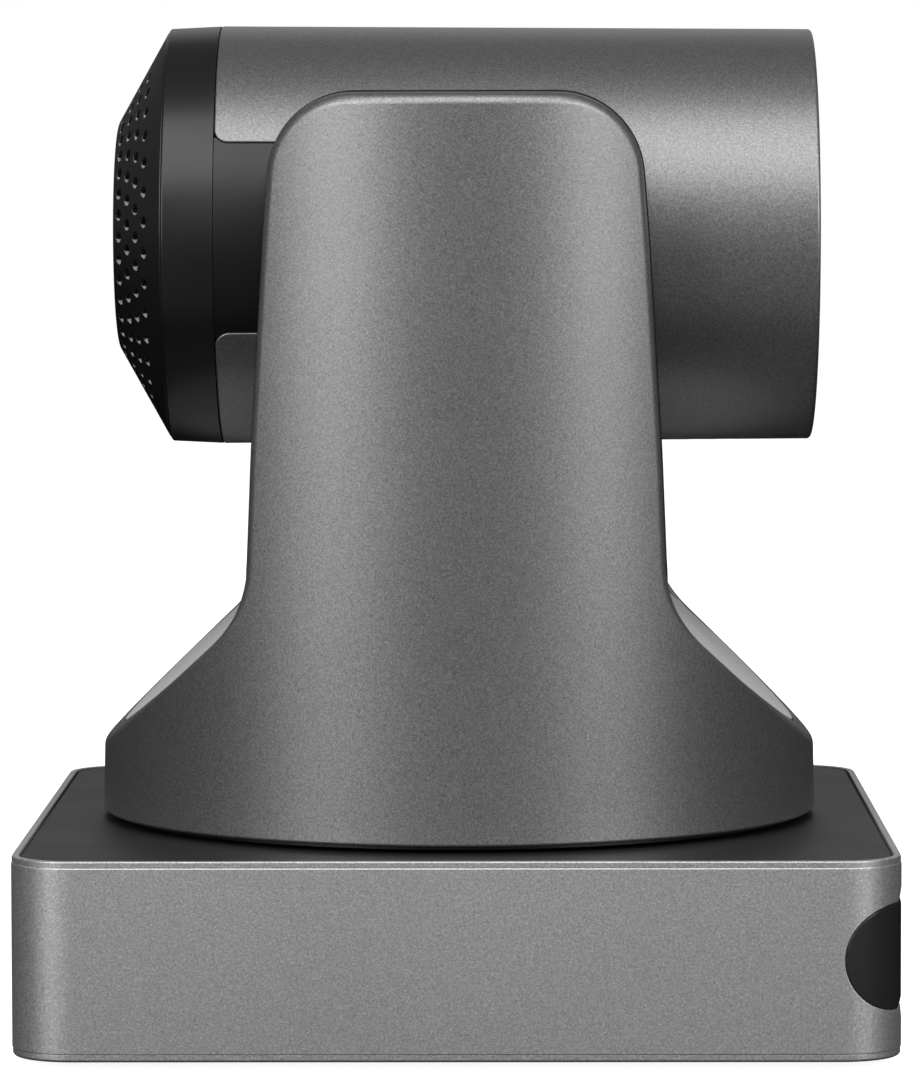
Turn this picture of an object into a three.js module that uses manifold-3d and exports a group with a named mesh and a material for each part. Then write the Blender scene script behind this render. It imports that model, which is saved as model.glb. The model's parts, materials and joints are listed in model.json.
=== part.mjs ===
// Desktop pan-tilt-zoom conference camera, as an assembly of separate pieces.
// Millimetres. +Z up, +X is the way the lens looks, +Y is the camera's left.
// Origin: on the pan axis, in the plane of the rubber feet.
import * as THREE from "three";
import { mergeVertices } from "three/addons/utils/BufferGeometryUtils.js";
import Module from "manifold-3d";

const wasm = await Module();
wasm.setup();

// ---------------------------------------------------------------- driving dimensions
const BASE_HALF = 71; // half side of the square base
const BASE_R = 10; // vertical corner radius of the base
const FOOT_H = 1.3; // rubber feet stand proud by this much
const PLATE_TOP = 2.6; // top of the bottom plate
const BASE_TOP = 33.3; // top of the base rim
const WALL = 2.5;
const RIM = 1.4; // width of the rim round the black top panel
const SKIRT_Z = 34.7; // underside of the turning shell
const SKIRT_R = 60.3;
const ARM_TOP = 154.5;
const ARM_R = 57.6; // radius of the turning shell at the top of its arms
const FLOOR_Z = 68.8; // floor between the arms
const COVER_IN = 36.5; // inner face of the arms, from the middle plane
const COVER_OUT = 38.4;
const TILT_Z = 131; // height of the tilt axis
const BARREL_REAR_R = 35.15;
const BARREL_FRONT_R = 34.5;
const BARREL_FRONT = 59.4;
const SHELL_REAR = -39.6;
const RING_REAR = -48.4;
const CAP_REAR = -57.5;
const CAP_FLAT_R = 18.6;
const NOTCH_HALF = 15.6;
const LENS_IN_R = 17.3;
const LENS_OUT_R = 19.8;
const SCREW_R = 25; // the lead screws stand this far from the lens axis
const WINDOW_Z = 17.5;
const WINDOW_H = 8.6; // half height of the infra-red window
const WINDOW_SIDE = 9.6; // how far it runs back round the corners
const SUN_TEETH = 40;
const PINION_TEETH = 10;
const GEAR_MODULE = 1.5;
const PAN_MOTOR_DEG = -40; // where the pan motor stands round the pan axis
const TILT_MOTOR_Z = 56.2;
const BIG_PULLEY_R = 13;
const SMALL_PULLEY_R = 5;
const IO_PLANE = -59; // outer face of the connector plate
const IO_HALF = 56; // half width of the connector recess

// ---------------------------------------------------------------- solids
const solidOf = (geometry) => {
  const g = geometry.clone();
  g.deleteAttribute("normal");
  g.deleteAttribute("uv");
  const m = mergeVertices(g, 1e-4);
  return new wasm.Manifold(
    new wasm.Mesh({
      numProp: 3,
      vertProperties: new Float32Array(m.attributes.position.array),
      triVerts: new Uint32Array(m.index.array),
    }),
  );
};

const geometryOf = (solid) => {
  const m = solid.getMesh();
  const v = new Float32Array(m.numVert * 3);
  for (let i = 0; i < m.numVert; i++)
    v.set(m.vertProperties.subarray(i * m.numProp, i * m.numProp + 3), i * 3);
  const g = new THREE.BufferGeometry();
  g.setAttribute("position", new THREE.BufferAttribute(v, 3));
  g.setIndex(new THREE.BufferAttribute(new Uint32Array(m.triVerts), 1));
  g.computeVertexNormals();
  return g;
};

const box = (x0, x1, y0, y1, z0, z1) => {
  const g = new THREE.BoxGeometry(x1 - x0, y1 - y0, z1 - z0);
  g.translate((x0 + x1) / 2, (y0 + y1) / 2, (z0 + z1) / 2);
  return solidOf(g);
};

// A turned piece: pairs of radius and height, closed on themselves, about +Z.
const turned = (pairs, segments) => {
  const pts = pairs.map(([r, h]) => new THREE.Vector2(r, h));
  pts.push(pts[0].clone());
  const g = new THREE.LatheGeometry(pts, segments);
  g.rotateX(Math.PI / 2);
  const s = solidOf(g);
  if (s.volume() >= 0) return s;
  const back = new THREE.LatheGeometry(pts.slice().reverse(), segments);
  back.rotateX(Math.PI / 2);
  return solidOf(back);
};
const alongX = (solid, z = 0, y = 0) =>
  solid.rotate([0, 90, 0]).translate([0, y, z]);
const alongY = (solid, x = 0, z = 0) =>
  solid.rotate([-90, 0, 0]).translate([x, 0, z]);

const rod = (r, z0, z1, x = 0, y = 0, segments = 16, r1 = r) => {
  const g = new THREE.CylinderGeometry(r1, r, z1 - z0, segments);
  g.rotateX(Math.PI / 2);
  g.translate(x, y, (z0 + z1) / 2);
  return solidOf(g);
};
const rodX = (r, x0, x1, y, z, segments = 16, r1 = r) =>
  rod(r, x0, x1, 0, 0, segments, r1).rotate([0, 90, 0]).translate([0, y, z]);
const rodY = (r, y0, y1, x, z, segments = 16) =>
  rod(r, y0, y1, 0, 0, segments).rotate([-90, 0, 0]).translate([x, 0, z]);

// A flat outline pushed up along Z.
const slab = (points, z0, z1) => {
  const shape = new THREE.Shape(points.map(([x, y]) => new THREE.Vector2(x, y)));
  const g = new THREE.ExtrudeGeometry(shape, {
    depth: z1 - z0,
    bevelEnabled: false,
    steps: 1,
  });
  g.translate(0, 0, z0);
  return solidOf(g);
};
// An outline in X and Z pushed along Y.
const sideSlab = (points, y0, y1) =>
  slab(
    points.map(([x, z]) => [x, -z]),
    y0,
    y1,
  ).rotate([-90, 0, 0]);

const roundRect = (hx, hy, r, n = 4) => {
  const out = [];
  [
    [1, 1, 0],
    [-1, 1, 90],
    [-1, -1, 180],
    [1, -1, 270],
  ].forEach(([sx, sy, a]) => {
    for (let i = 0; i <= n; i++) {
      const t = ((a + (90 * i) / n) * Math.PI) / 180;
      out.push([
        sx * (hx - r) + r * Math.cos(t),
        sy * (hy - r) + r * Math.sin(t),
      ]);
    }
  });
  return out;
};

// A polygon whose corners are rounded: each point is [x, z, radius, steps].
const rounded = (corners) => {
  const out = [];
  corners.forEach(([x, z, r, n], i) => {
    if (!r) {
      out.push([x, z]);
      return;
    }
    const p = new THREE.Vector2(x, z);
    const a = corners[(i + corners.length - 1) % corners.length];
    const b = corners[(i + 1) % corners.length];
    const u = new THREE.Vector2(a[0], a[1]).sub(p).normalize();
    const w = new THREE.Vector2(b[0], b[1]).sub(p).normalize();
    const half = Math.acos(THREE.MathUtils.clamp(u.dot(w), -1, 1)) / 2;
    const t = r / Math.tan(half);
    const centre = p.clone().add(
      u
        .clone()
        .add(w)
        .normalize()
        .multiplyScalar(r / Math.sin(half)),
    );
    const s = p.clone().add(u.clone().multiplyScalar(t)).sub(centre);
    const e = p.clone().add(w.clone().multiplyScalar(t)).sub(centre);
    let a0 = s.angle(),
      a1 = e.angle();
    while (a1 - a0 > Math.PI) a1 -= 2 * Math.PI;
    while (a1 - a0 < -Math.PI) a1 += 2 * Math.PI;
    for (let k = 0; k <= n; k++) {
      const t2 = a0 + ((a1 - a0) * k) / n;
      out.push([centre.x + r * Math.cos(t2), centre.y + r * Math.sin(t2)]);
    }
  });
  return out;
};

const paint = {
  grey: new THREE.MeshStandardMaterial({ color: 0x6e6e70, roughness: 0.42, metalness: 0.75 }),
  light: new THREE.MeshStandardMaterial({ color: 0x8c8c8e, roughness: 0.45, metalness: 0.7 }),
  silver: new THREE.MeshStandardMaterial({ color: 0x86868a, roughness: 0.42, metalness: 0.75 }),
  black: new THREE.MeshStandardMaterial({ color: 0x1d1d1f, roughness: 0.5, metalness: 0.0 }),
  gloss: new THREE.MeshStandardMaterial({ color: 0x0d0d0f, roughness: 0.12, metalness: 0.0 }),
  rubber: new THREE.MeshStandardMaterial({ color: 0x161616, roughness: 0.85, metalness: 0.0 }),
  steel: new THREE.MeshStandardMaterial({ color: 0xa9abad, roughness: 0.3, metalness: 1.0 }),
  brass: new THREE.MeshStandardMaterial({ color: 0xb08a45, roughness: 0.35, metalness: 1.0 }),
  glass: new THREE.MeshStandardMaterial({ color: 0x20242e, roughness: 0.03, metalness: 0.0 }),
  board: new THREE.MeshStandardMaterial({ color: 0x1f5a36, roughness: 0.5, metalness: 0.0 }),
  nylon: new THREE.MeshStandardMaterial({ color: 0xd8d4c6, roughness: 0.5, metalness: 0.0 }),
};

const camera = new THREE.Group();
const base = new THREE.Group();
const yoke = new THREE.Group();
const head = new THREE.Group();
camera.add(base, yoke, head);
const add = (group, name, solid, material) => {
  const mesh = new THREE.Mesh(geometryOf(solid), material);
  mesh.name = name;
  group.add(mesh);
};

// ---------------------------------------------------------------- base
const windowOutline = (grow) => {
  // side view of the window: a half ellipse that runs off the front of the base
  const out = [];
  for (let i = 0; i <= 10; i++) {
    const t = Math.PI / 2 + (Math.PI * i) / 10;
    out.push([
      BASE_HALF + (WINDOW_SIDE + grow) * Math.cos(t),
      WINDOW_Z + (WINDOW_H + grow) * Math.sin(t),
    ]);
  }
  out.push([BASE_HALF + 3, WINDOW_Z - WINDOW_H - grow]);
  out.push([BASE_HALF + 3, WINDOW_Z + WINDOW_H + grow]);
  return out;
};
const outerBase = (z0, z1, inset = 0) =>
  slab(roundRect(BASE_HALF - inset, BASE_HALF - inset, BASE_R - inset), z0, z1);

const ioOpening = (grow, x0, x1) =>
  slab(
    roundRect(IO_HALF + grow, 11.2 + grow, 2.5 + grow, 2),
    x0,
    x1,
  )
    .rotate([0, 0, 90])
    .rotate([0, 90, 0])
    .translate([0, 0, WINDOW_Z]);

let housing = outerBase(PLATE_TOP, BASE_TOP)
  .subtract(outerBase(0, 40, WALL))
  .subtract(outerBase(31.6, 40, RIM))
  .subtract(sideSlab(windowOutline(0.2), -80, 80))
;
for (const sx of [-1, 1])
  for (const sy of [-1, 1])
    housing = housing.add(
      rod(7.0, PLATE_TOP, 31.6, sx * 61.5, sy * 61.5, 10).subtract(
        rod(1.7, 0, 13, sx * 61.5, sy * 61.5, 8),
      ),
    );
// the bosses stay clear of the window and of the top panel
housing = housing.subtract(ioOpening(0.3, -75, -44)).subtract(
  outerBase(WINDOW_Z - WINDOW_H - 0.2, WINDOW_Z + WINDOW_H + 0.2)
    .subtract(outerBase(0, 40, 2.35))
    .intersect(box(60, 80, -80, 80, 0, 40)),
);
add(base, "base_housing", housing, paint.silver);

add(
  base,
  "base_top_panel",
  slab(roundRect(BASE_HALF - RIM - 0.3, BASE_HALF - RIM - 0.3, BASE_R - RIM - 0.3), 31.7, 33.15).subtract(
    rod(30, 30, 35, 0, 0, 32),
  ),
  paint.black,
);

let plate = slab(roundRect(BASE_HALF - 0.5, BASE_HALF - 0.5, BASE_R - 0.5), FOOT_H, PLATE_TOP - 0.15)
  .subtract(rod(7.15, 0, 5, 0, 0, 20));
for (const sx of [-1, 1])
  for (const sy of [-1, 1]) {
    plate = plate.subtract(rod(1.7, 0, 5, sx * 61.5, sy * 61.5, 8));
    plate = plate.add(rod(2.5, 2, 7.4, sx * 46, sy * 46, 8));
  }
add(base, "base_bottom_plate", plate, paint.steel);
add(
  base,
  "tripod_insert",
  rod(7, FOOT_H, 11, 0, 0, 20).subtract(rod(3.2, 0, 9.5, 0, 0, 16)),
  paint.brass,
);
let n = 0;
for (const sx of [-1, 1])
  for (const sy of [-1, 1]) {
    n++;
    add(base, `rubber_foot_${n}`, rod(6.5, 0.5, FOOT_H, sx * 52, sy * 52, 16).add(rod(6, 0, 0.5, sx * 52, sy * 52, 16, 6.5)), paint.rubber);
  }

add(
  base,
  "ir_window",
  outerBase(0, 40).subtract(outerBase(-1, 41, 2.2)).intersect(sideSlab(windowOutline(0), -80, 80)),
  paint.gloss,
);
add(
  base,
  "ir_receiver_board",
  box(63.6, 65.2, -14, 14, 10, 25)
    .add(rodX(3, 65, 68.2, 0, WINDOW_Z, 16))
    .add(rodX(1.5, 65, 67.6, 9, WINDOW_Z, 10)),
  paint.board,
);

// the connector tray and what stands in it
const sockets = {
  dc_jack: [50, 5.2],
  rs232_out_port: [36.5, 7.2],
  rs232_in_port: [20.5, 7.2],
  audio_jack: [8, 4.2],
};
let tray = ioOpening(0, -70.8, -57.5).subtract(ioOpening(-1.5, -75, IO_PLANE));
for (const [y, r] of Object.values(sockets))
  tray = tray.subtract(rodX(r + 0.15, -62, -55, y, WINDOW_Z, 16));
const usbY = -4.2,
  lanY = -19,
  hdmiY = -35.5,
  bncY = -49.5;
tray = tray
  .subtract(box(-62, -55, usbY - 6.2, usbY + 6.2, 11.8, 23.2))
  .subtract(box(-62, -55, lanY - 8.2, lanY + 8.2, 10.5, 24.5))
  .subtract(box(-62, -55, hdmiY - 7.9, hdmiY + 7.9, 14.2, 20.8))
  .subtract(rodX(5.8, -62, -55, bncY, WINDOW_Z, 16));
add(base, "rear_io_panel", tray, paint.black);

const socketRound = (y, r, hole, pin, x0 = -59.6, x1 = -49) => {
  let s = rodX(r, x0, x1, y, WINDOW_Z, 16).subtract(rodX(hole, x0 - 1, x0 + 8, y, WINDOW_Z, 12));
  if (pin) s = s.add(rodX(pin, x0 + 0.8, x0 + 8.5, y, WINDOW_Z, 8));
  return s;
};
add(base, "dc_jack", socketRound(50, 5.2, 3.0, 1.05), paint.black);
add(base, "rs232_out_port", socketRound(36.5, 7.2, 4.7, 3.3), paint.black);
add(base, "rs232_in_port", socketRound(20.5, 7.2, 4.7, 3.3), paint.black);
add(base, "audio_jack", socketRound(8, 4.2, 1.85, 0), paint.steel);
add(
  base,
  "usb_port",
  box(-59.6, -46, usbY - 6, usbY + 6, 12, 23)
    .subtract(box(-60, -51, usbY - 4.3, usbY + 4.3, 13.6, 21.4))
    .add(box(-58.8, -50, usbY - 2.8, usbY + 2.8, 15.9, 19.1)),
  paint.steel,
);
add(
  base,
  "lan_port",
  box(-59.6, -44, lanY - 8, lanY + 8, 10.7, 24.3)
    .subtract(box(-60, -47, lanY - 5.9, lanY + 5.9, 12.6, 20.6))
    .subtract(box(-60, -47, lanY - 3.1, lanY + 3.1, 20, 22.8)),
  paint.steel,
);
add(
  base,
  "hdmi_port",
  box(-59.6, -47, hdmiY - 7.7, hdmiY + 7.7, 14.4, 20.6)
    .subtract(
      sideSlab(
        [
          [-6.95, 19.75],
          [-6.95, 16.9],
          [-5.4, 15.2],
          [5.4, 15.2],
          [6.95, 16.9],
          [6.95, 19.75],
        ],
        -60,
        -51,
      )
        .rotate([0, 0, -90])
        .translate([0, hdmiY, 0])
        .intersect(box(-61, -51, -80, 80, 0, 40)),
    )
    .add(box(-58.8, -50.5, hdmiY - 5.4, hdmiY + 5.4, 17.3, 18.3)),
  paint.steel,
);
add(
  base,
  "sdi_connector",
  rodX(5.6, -60.4, -48, bncY, WINDOW_Z, 16)
    .add(rodX(4.8, -70.6, -60, bncY, WINDOW_Z, 16))
    .add(rod(1.0, WINDOW_Z - 5.8, WINDOW_Z + 5.8, -67, bncY, 6))
    .subtract(rodX(3.6, -71, -62, bncY, WINDOW_Z, 12))
    .add(rodX(1.2, -69.5, -61, bncY, WINDOW_Z, 6)),
  paint.steel,
);
add(
  base,
  "main_board",
  box(-57, 52, -56, 56, 7.5, 9.1).subtract(rod(13, 5, 12, 0, 0, 24)),
  paint.board,
);

// ---------------------------------------------------------------- pan bearing and gear
add(
  base,
  "pan_post",
  turned(
    [
      [8, 2.75],
      [20, 2.75],
      [20, 4.75],
      [11, 4.75],
      [11, 47],
      [8, 47],
    ],
    24,
  ),
  paint.steel,
);
const gear = (teeth, z0, z1, phase, bore, segments) => {
  const rp = (GEAR_MODULE * teeth) / 2,
    tip = rp + 0.75 * GEAR_MODULE,
    root = rp - 1.05 * GEAR_MODULE,
    pitch = (2 * Math.PI) / teeth,
    pts = [];
  for (let i = 0; i < teeth; i++) {
    const c = phase + i * pitch;
    for (const [r, k] of [
      [root, -0.31],
      [tip, -0.11],
      [tip, 0.11],
      [root, 0.31],
    ])
      pts.push([r * Math.cos(c + k * pitch), r * Math.sin(c + k * pitch)]);
  }
  const s = slab(pts, z0, z1);
  return bore ? s.subtract(rod(bore, z0 - 1, z1 + 1, 0, 0, segments)) : s;
};
const panAngle = (PAN_MOTOR_DEG * Math.PI) / 180;
const panReach = (GEAR_MODULE * (SUN_TEETH + PINION_TEETH)) / 2 + 0.1;
const panX = panReach * Math.cos(panAngle),
  panY = panReach * Math.sin(panAngle);
add(base, "pan_sun_gear", gear(SUN_TEETH, 40, 45, panAngle, 11.1, 24), paint.nylon);
add(
  yoke,
  "pan_bearing",
  turned(
    [
      [11.15, 30.5],
      [17, 30.5],
      [17, 37.5],
      [11.15, 37.5],
    ],
    24,
  ),
  paint.steel,
);
add(
  yoke,
  "turntable",
  turned(
    [
      [17.1, 30],
      [20, 30],
      [20, 34.0],
      [58.6, 34.0],
      [58.6, 34.55],
      [57.1, 34.55],
      [57.1, 36],
      [20, 36],
      [20, 38.4],
      [17.1, 38.4],
    ],
    36,
  ),
  paint.black,
);
const pinion = gear(PINION_TEETH, 40.2, 44.8, panAngle + Math.PI + Math.PI / PINION_TEETH, 0, 0)
  .translate([panX, panY, 0])
  .add(rod(1.5, 39.6, 52, panX, panY, 10));
add(yoke, "pan_pinion", pinion, paint.brass);
add(
  yoke,
  "pan_motor",
  rod(11, 47.6, 59.6, panX, panY, 18).subtract(rod(1.9, 46, 53, panX, panY, 10)),
  paint.steel,
);
const legs = (a) => [panX + 14 * Math.cos(a), panY + 14 * Math.sin(a)];
let bracket = rod(11, 46.2, 47.5, panX, panY, 18).subtract(rod(2.4, 45, 49, panX, panY, 10));
for (const a of [panAngle + 1.0, panAngle - 1.0]) {
  const [lx, ly] = legs(a);
  bracket = bracket.add(rod(3.4, 36.05, 47.5, lx, ly, 12));
}
add(yoke, "pan_motor_bracket", bracket, paint.steel);

// ---------------------------------------------------------------- turning shell
const SIDE_LOW = 34.1; // half width of an arm where it meets the slope
const SIDE_LOW_Z = 70.1;
const SIDE_HIGH = 29.15; // the same at the top, before its corner is rounded
const SLOPE = 0.927;
const slopeZ = (x, drop = 0) => SIDE_LOW_Z - drop - SLOPE * (x - SIDE_LOW);
const profile = (inset) => {
  const drop = inset * Math.hypot(1, SLOPE);
  const top = ARM_TOP - inset;
  const right = [
    [64, slopeZ(64, drop), 0, 0],
    [SIDE_LOW - inset, slopeZ(SIDE_LOW - inset, drop), 20 + inset, 4],
    [33.0 - inset, 97, 0, 0],
    [31.0 - inset, 131, 0, 0],
    [SIDE_HIGH - inset, top, 13.8 - inset, 5],
  ];
  return rounded([
    ...right,
    ...right
      .slice()
      .reverse()
      .map(([x, zz, r, k]) => [-x, zz, r, k]),
    [-64, SKIRT_Z - inset, 0, 0],
    [64, SKIRT_Z - inset, 0, 0],
  ]);
};
const column = (inset, z0, z1) =>
  turned(
    [
      [0, z0],
      [SKIRT_R - inset, z0],
      [SKIRT_R - inset, SKIRT_Z],
      [ARM_R - inset, ARM_TOP + 5],
      [0, ARM_TOP + 5],
    ],
    56,
  ).intersect(box(-80, 80, -80, 80, z0, z1));

const outline = sideSlab(profile(0), -70, 70);
const yokeBody = column(0, 30, 160).intersect(outline);
const hollow = column(WALL, 30, 160).intersect(sideSlab(profile(WALL), -70, 70));
const plan = (sign, grow) => {
  // lower end of a sloping cover: a shallow arc inside the round shell
  const c = -10.9 * sign,
    r = 67.6 + grow,
    h = 36.3 + grow,
    pts = [],
    a = Math.asin(h / r);
  for (let i = 0; i <= 8; i++) {
    const t = -a + (2 * a * i) / 8;
    pts.push([c + sign * r * Math.cos(t), sign * r * Math.sin(t)]);
  }
  pts.push([sign * 35.5, sign * h], [sign * 35.5, -sign * h]);
  return pts;
};
let shell = yokeBody
  .subtract(hollow)
  .subtract(box(-70, 70, -38.7, 38.7, FLOOR_Z + 0.1, 170));
for (const sign of [-1, 1])
  shell = shell.subtract(
    slab(plan(sign, 0.2), 40, 75).intersect(
      sideSlab(
        [
          [sign * 30, slopeZ(30, 6)],
          [sign * 66, slopeZ(66, 6)],
          [sign * 66, 90],
          [sign * 30, 90],
        ],
        -70,
        70,
      ),
    ),
  );
shell = shell.subtract(box(-36, 36, -36.5, 36.5, 60, 75));
add(yoke, "yoke_shell", shell, paint.grey);

for (const [sign, name] of [
  [1, "front_slope_cover"],
  [-1, "rear_slope_cover"],
])
  add(
    yoke,
    name,
    sideSlab(
      [
        [sign * 35.6, slopeZ(35.6, 0)],
        [sign * 59, slopeZ(59, 0)],
        [sign * 59, slopeZ(59, 2.6)],
        [sign * 35.6, slopeZ(35.6, 2.6)],
      ],
      -40,
      40,
    ).intersect(slab(plan(sign, 0), 30, 90)),
    paint.light,
  );
add(yoke, "floor_cover", box(-35.3, 35.3, -36.3, 36.3, FLOOR_Z - 2, FLOOR_Z), paint.light);

for (const [sy, name] of [
  [1, "left_arm_inner_cover"],
  [-1, "right_arm_inner_cover"],
])
  add(
    yoke,
    name,
    yokeBody
      .intersect(
        sy > 0
          ? box(-70, 70, COVER_IN, COVER_OUT, FLOOR_Z + 0.2, 170)
          : box(-70, 70, -COVER_OUT, -COVER_IN, FLOOR_Z + 0.2, 170),
      )
      .subtract(rodY(9.2, -60, 60, 0, TILT_Z, 16)),
    paint.grey,
  );

// arm frames with the tilt bearings
for (const [sy, side] of [
  [1, "left"],
  [-1, "right"],
]) {
  const y0 = Math.min(sy * 39.5, sy * 43),
    y1 = Math.max(sy * 39.5, sy * 43);
  let frame = box(-14, 14, y0, y1, 36.1, 146).subtract(rodY(12.15, -60, 60, 0, TILT_Z, 24));
  if (sy > 0) frame = frame.subtract(rodY(2.4, -60, 60, 0, TILT_MOTOR_Z, 8));
  add(yoke, `${side}_arm_frame`, frame, paint.steel);
  add(
    yoke,
    `${side}_tilt_bearing`,
    alongY(
      turned(
        [
          [8.16, Math.min(sy * 39.4, sy * 44)],
          [12, Math.min(sy * 39.4, sy * 44)],
          [12, Math.max(sy * 39.4, sy * 44)],
          [8.16, Math.max(sy * 39.4, sy * 44)],
        ],
        24,
      ),
      0,
      TILT_Z,
    ),
    paint.steel,
  );
  add(
    head,
    `${side}_trunnion`,
    rodY(11, Math.min(sy * 29.6, sy * 30.7), Math.max(sy * 29.6, sy * 30.7), 0, TILT_Z, 16)
      .add(rodY(8, Math.min(sy * 30.5, sy * 52.4), Math.max(sy * 30.5, sy * 52.4), 0, TILT_Z, 24))
      .subtract(rodY(5.5, -60, 60, 0, TILT_Z, 12)),
    paint.steel,
  );
}
const pulley = (r, flange, bore, y0, y1) => {
  const prof = [
    [bore, y0],
    [flange, y0],
    [flange, y0 + 0.4],
    [r, y0 + 0.4],
    [r, y1 - 0.4],
    [flange, y1 - 0.4],
    [flange, y1],
    [bore, y1],
  ];
  return turned(prof, 24);
};
add(head, "tilt_pulley", alongY(pulley(BIG_PULLEY_R, 14.6, 8.05, 45.8, 52), 0, TILT_Z), paint.nylon);
add(
  yoke,
  "tilt_motor_pulley",
  alongY(pulley(SMALL_PULLEY_R, 6.6, 1.2, 45.8, 52), 0, TILT_MOTOR_Z).add(
    rodY(1.35, 34, 52.3, 0, TILT_MOTOR_Z, 8),
  ),
  paint.nylon,
);
add(
  yoke,
  "tilt_motor",
  rodY(10, 19, 39.2, 0, TILT_MOTOR_Z, 18).subtract(rodY(1.9, 33, 50, 0, TILT_MOTOR_Z, 10)),
  paint.steel,
);
const loop = (gap) => {
  // outline of a belt round both pulleys, as points in X and Z
  const d = TILT_Z - TILT_MOTOR_Z,
    R = BIG_PULLEY_R + gap,
    r = SMALL_PULLEY_R + gap,
    b = Math.asin((R - r) / d),
    pts = [];
  for (let i = 0; i <= 12; i++) {
    const t = -b + ((Math.PI + 2 * b) * i) / 12;
    pts.push([R * Math.cos(t), TILT_Z + R * Math.sin(t)]);
  }
  for (let i = 0; i <= 8; i++) {
    const t = Math.PI + b + ((Math.PI - 2 * b) * i) / 8;
    pts.push([r * Math.cos(t), TILT_MOTOR_Z + r * Math.sin(t)]);
  }
  return pts;
};
add(
  yoke,
  "tilt_belt",
  sideSlab(loop(1.6), 46.4, 51.4).subtract(sideSlab(loop(0.5), 40, 60)),
  paint.rubber,
);

// ---------------------------------------------------------------- camera head
const barrelR = (x) =>
  BARREL_REAR_R + ((BARREL_FRONT_R - BARREL_REAR_R) * (x - SHELL_REAR)) / (BARREL_FRONT - SHELL_REAR);
const tube = (x0, x1, wall, seg = 48) =>
  alongX(
    turned(
      [
        [barrelR(x0), x0],
        [barrelR(x1), x1],
        [barrelR(x1) - wall, x1],
        [barrelR(x0) - wall, x0],
      ],
      seg,
    ),
    TILT_Z,
  );
const notch = (grow, y0, y1) =>
  sideSlab(
    rounded([
      [17 + grow, TILT_Z + NOTCH_HALF + grow, 5, 3],
      [-60, TILT_Z + NOTCH_HALF + grow, 0, 0],
      [-60, TILT_Z - NOTCH_HALF - grow, 0, 0],
      [17 + grow, TILT_Z - NOTCH_HALF - grow, 5, 3],
    ]),
    y0,
    y1,
  );
add(head, "barrel_shell", tube(SHELL_REAR, BARREL_FRONT, 2.2).subtract(notch(0, -50, 50)), paint.grey);
for (const [sy, name] of [
  [1, "left_side_cover"],
  [-1, "right_side_cover"],
])
  add(
    head,
    name,
    tube(SHELL_REAR + 0.05, 17, 1.9)
      .intersect(sy > 0 ? notch(-0.3, 10, 50) : notch(-0.3, -50, -10))
      .subtract(rodY(8.6, -60, 60, 0, TILT_Z, 24)),
    paint.black,
  );
add(
  head,
  "rear_ring",
  alongX(
    turned(
      [
        [32.6, RING_REAR],
        [34.7, RING_REAR],
        [35.1, SHELL_REAR - 0.25],
        [32.6, SHELL_REAR - 0.25],
      ],
      40,
    ),
    TILT_Z,
  ),
  paint.black,
);
add(
  head,
  "rear_vent_cap",
  alongX(
    turned(
      [
        [0, CAP_REAR],
        [CAP_FLAT_R, CAP_REAR],
        [34.3, RING_REAR - 0.2],
        [32.2, RING_REAR - 0.2],
        [32.2, RING_REAR + 2],
        [30.6, RING_REAR + 2],
        [30.6, RING_REAR - 0.5],
        [CAP_FLAT_R - 0.6, CAP_REAR + 1.6],
        [0, CAP_REAR + 1.6],
      ],
      40,
    ),
    TILT_Z,
  ),
  paint.black,
);
add(
  head,
  "front_bezel",
  alongX(
    turned(
      [
        [32.15, 55.2],
        [32.15, 58.2],
        [31.0, 58.2],
        [21.0, 47.0],
        [21.0, 38.0],
        [22.6, 38.0],
        [22.6, 46.4],
        [30.6, 55.2],
      ],
      40,
    ),
    TILT_Z,
  ),
  paint.black,
);
const lensBody = alongX(
  turned(
    [
      [LENS_IN_R, -20],
      [LENS_OUT_R, -20],
      [LENS_OUT_R, 45.5],
      [LENS_IN_R, 45.5],
    ],
    24,
  ),
  TILT_Z,
);
add(
  head,
  "lens_housing",
  lensBody
    .subtract(box(12, 36.5, -2.6, 2.6, TILT_Z + 10, TILT_Z + 30))
    .subtract(box(-9.5, 5, -2.6, 2.6, TILT_Z - 30, TILT_Z - 10))
    .add(
      box(-16, -6, -4, 4, TILT_Z + 18.5, TILT_Z + 20.3),
    )
    .add(box(12, 21, -4, 4, TILT_Z - 20.3, TILT_Z - 18.5)),
  paint.black,
);
const lens = (x0, x1, r, bulge) => {
  // a lens with two domed faces, as pairs of radius and place along the axis
  const pts = [[0, x0 - bulge]];
  for (let i = 1; i <= 2; i++) pts.push([(r * i) / 2, x0 - bulge * (1 - (i / 2) ** 2)]);
  for (let i = 2; i >= 1; i--) pts.push([(r * i) / 2, x1 + bulge * (1 - (i / 2) ** 2)]);
  pts.push([0, x1 + bulge]);
  return alongX(turned(pts, 20), TILT_Z);
};
add(head, "front_lens", lens(39.8, 41.6, 17.0, 2.6).intersect(box(39.0, 50, -40, 40, 80, 180)), paint.glass);
add(head, "fixed_lens_group", lens(6.5, 9.5, 16.9, 1.2), paint.glass);
const carriage = (x0, x1, side) =>
  lens(x0, x1, 16.7, 1.0)
    .add(
      side > 0
        ? box(x0, x1, -2, 2, TILT_Z + 15.5, TILT_Z + 23)
        : box(x0, x1, -2, 2, TILT_Z - 23, TILT_Z - 15.5),
    )
    .add(rodX(3, x0, x1, 0, TILT_Z + side * SCREW_R, 10))
    .subtract(rodX(1.75, x0 - 2, x1 + 2, 0, TILT_Z + side * SCREW_R, 8));
add(head, "zoom_lens_carriage", carriage(14, 19, 1), paint.glass);
add(head, "focus_lens_carriage", carriage(-7.5, -3.5, -1), paint.glass);
add(
  head,
  "zoom_motor",
  rodX(4.5, -16, -6, 0, TILT_Z + SCREW_R, 20).subtract(rodX(1.5, -9, 0, 0, TILT_Z + SCREW_R, 12)),
  paint.steel,
);
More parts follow.
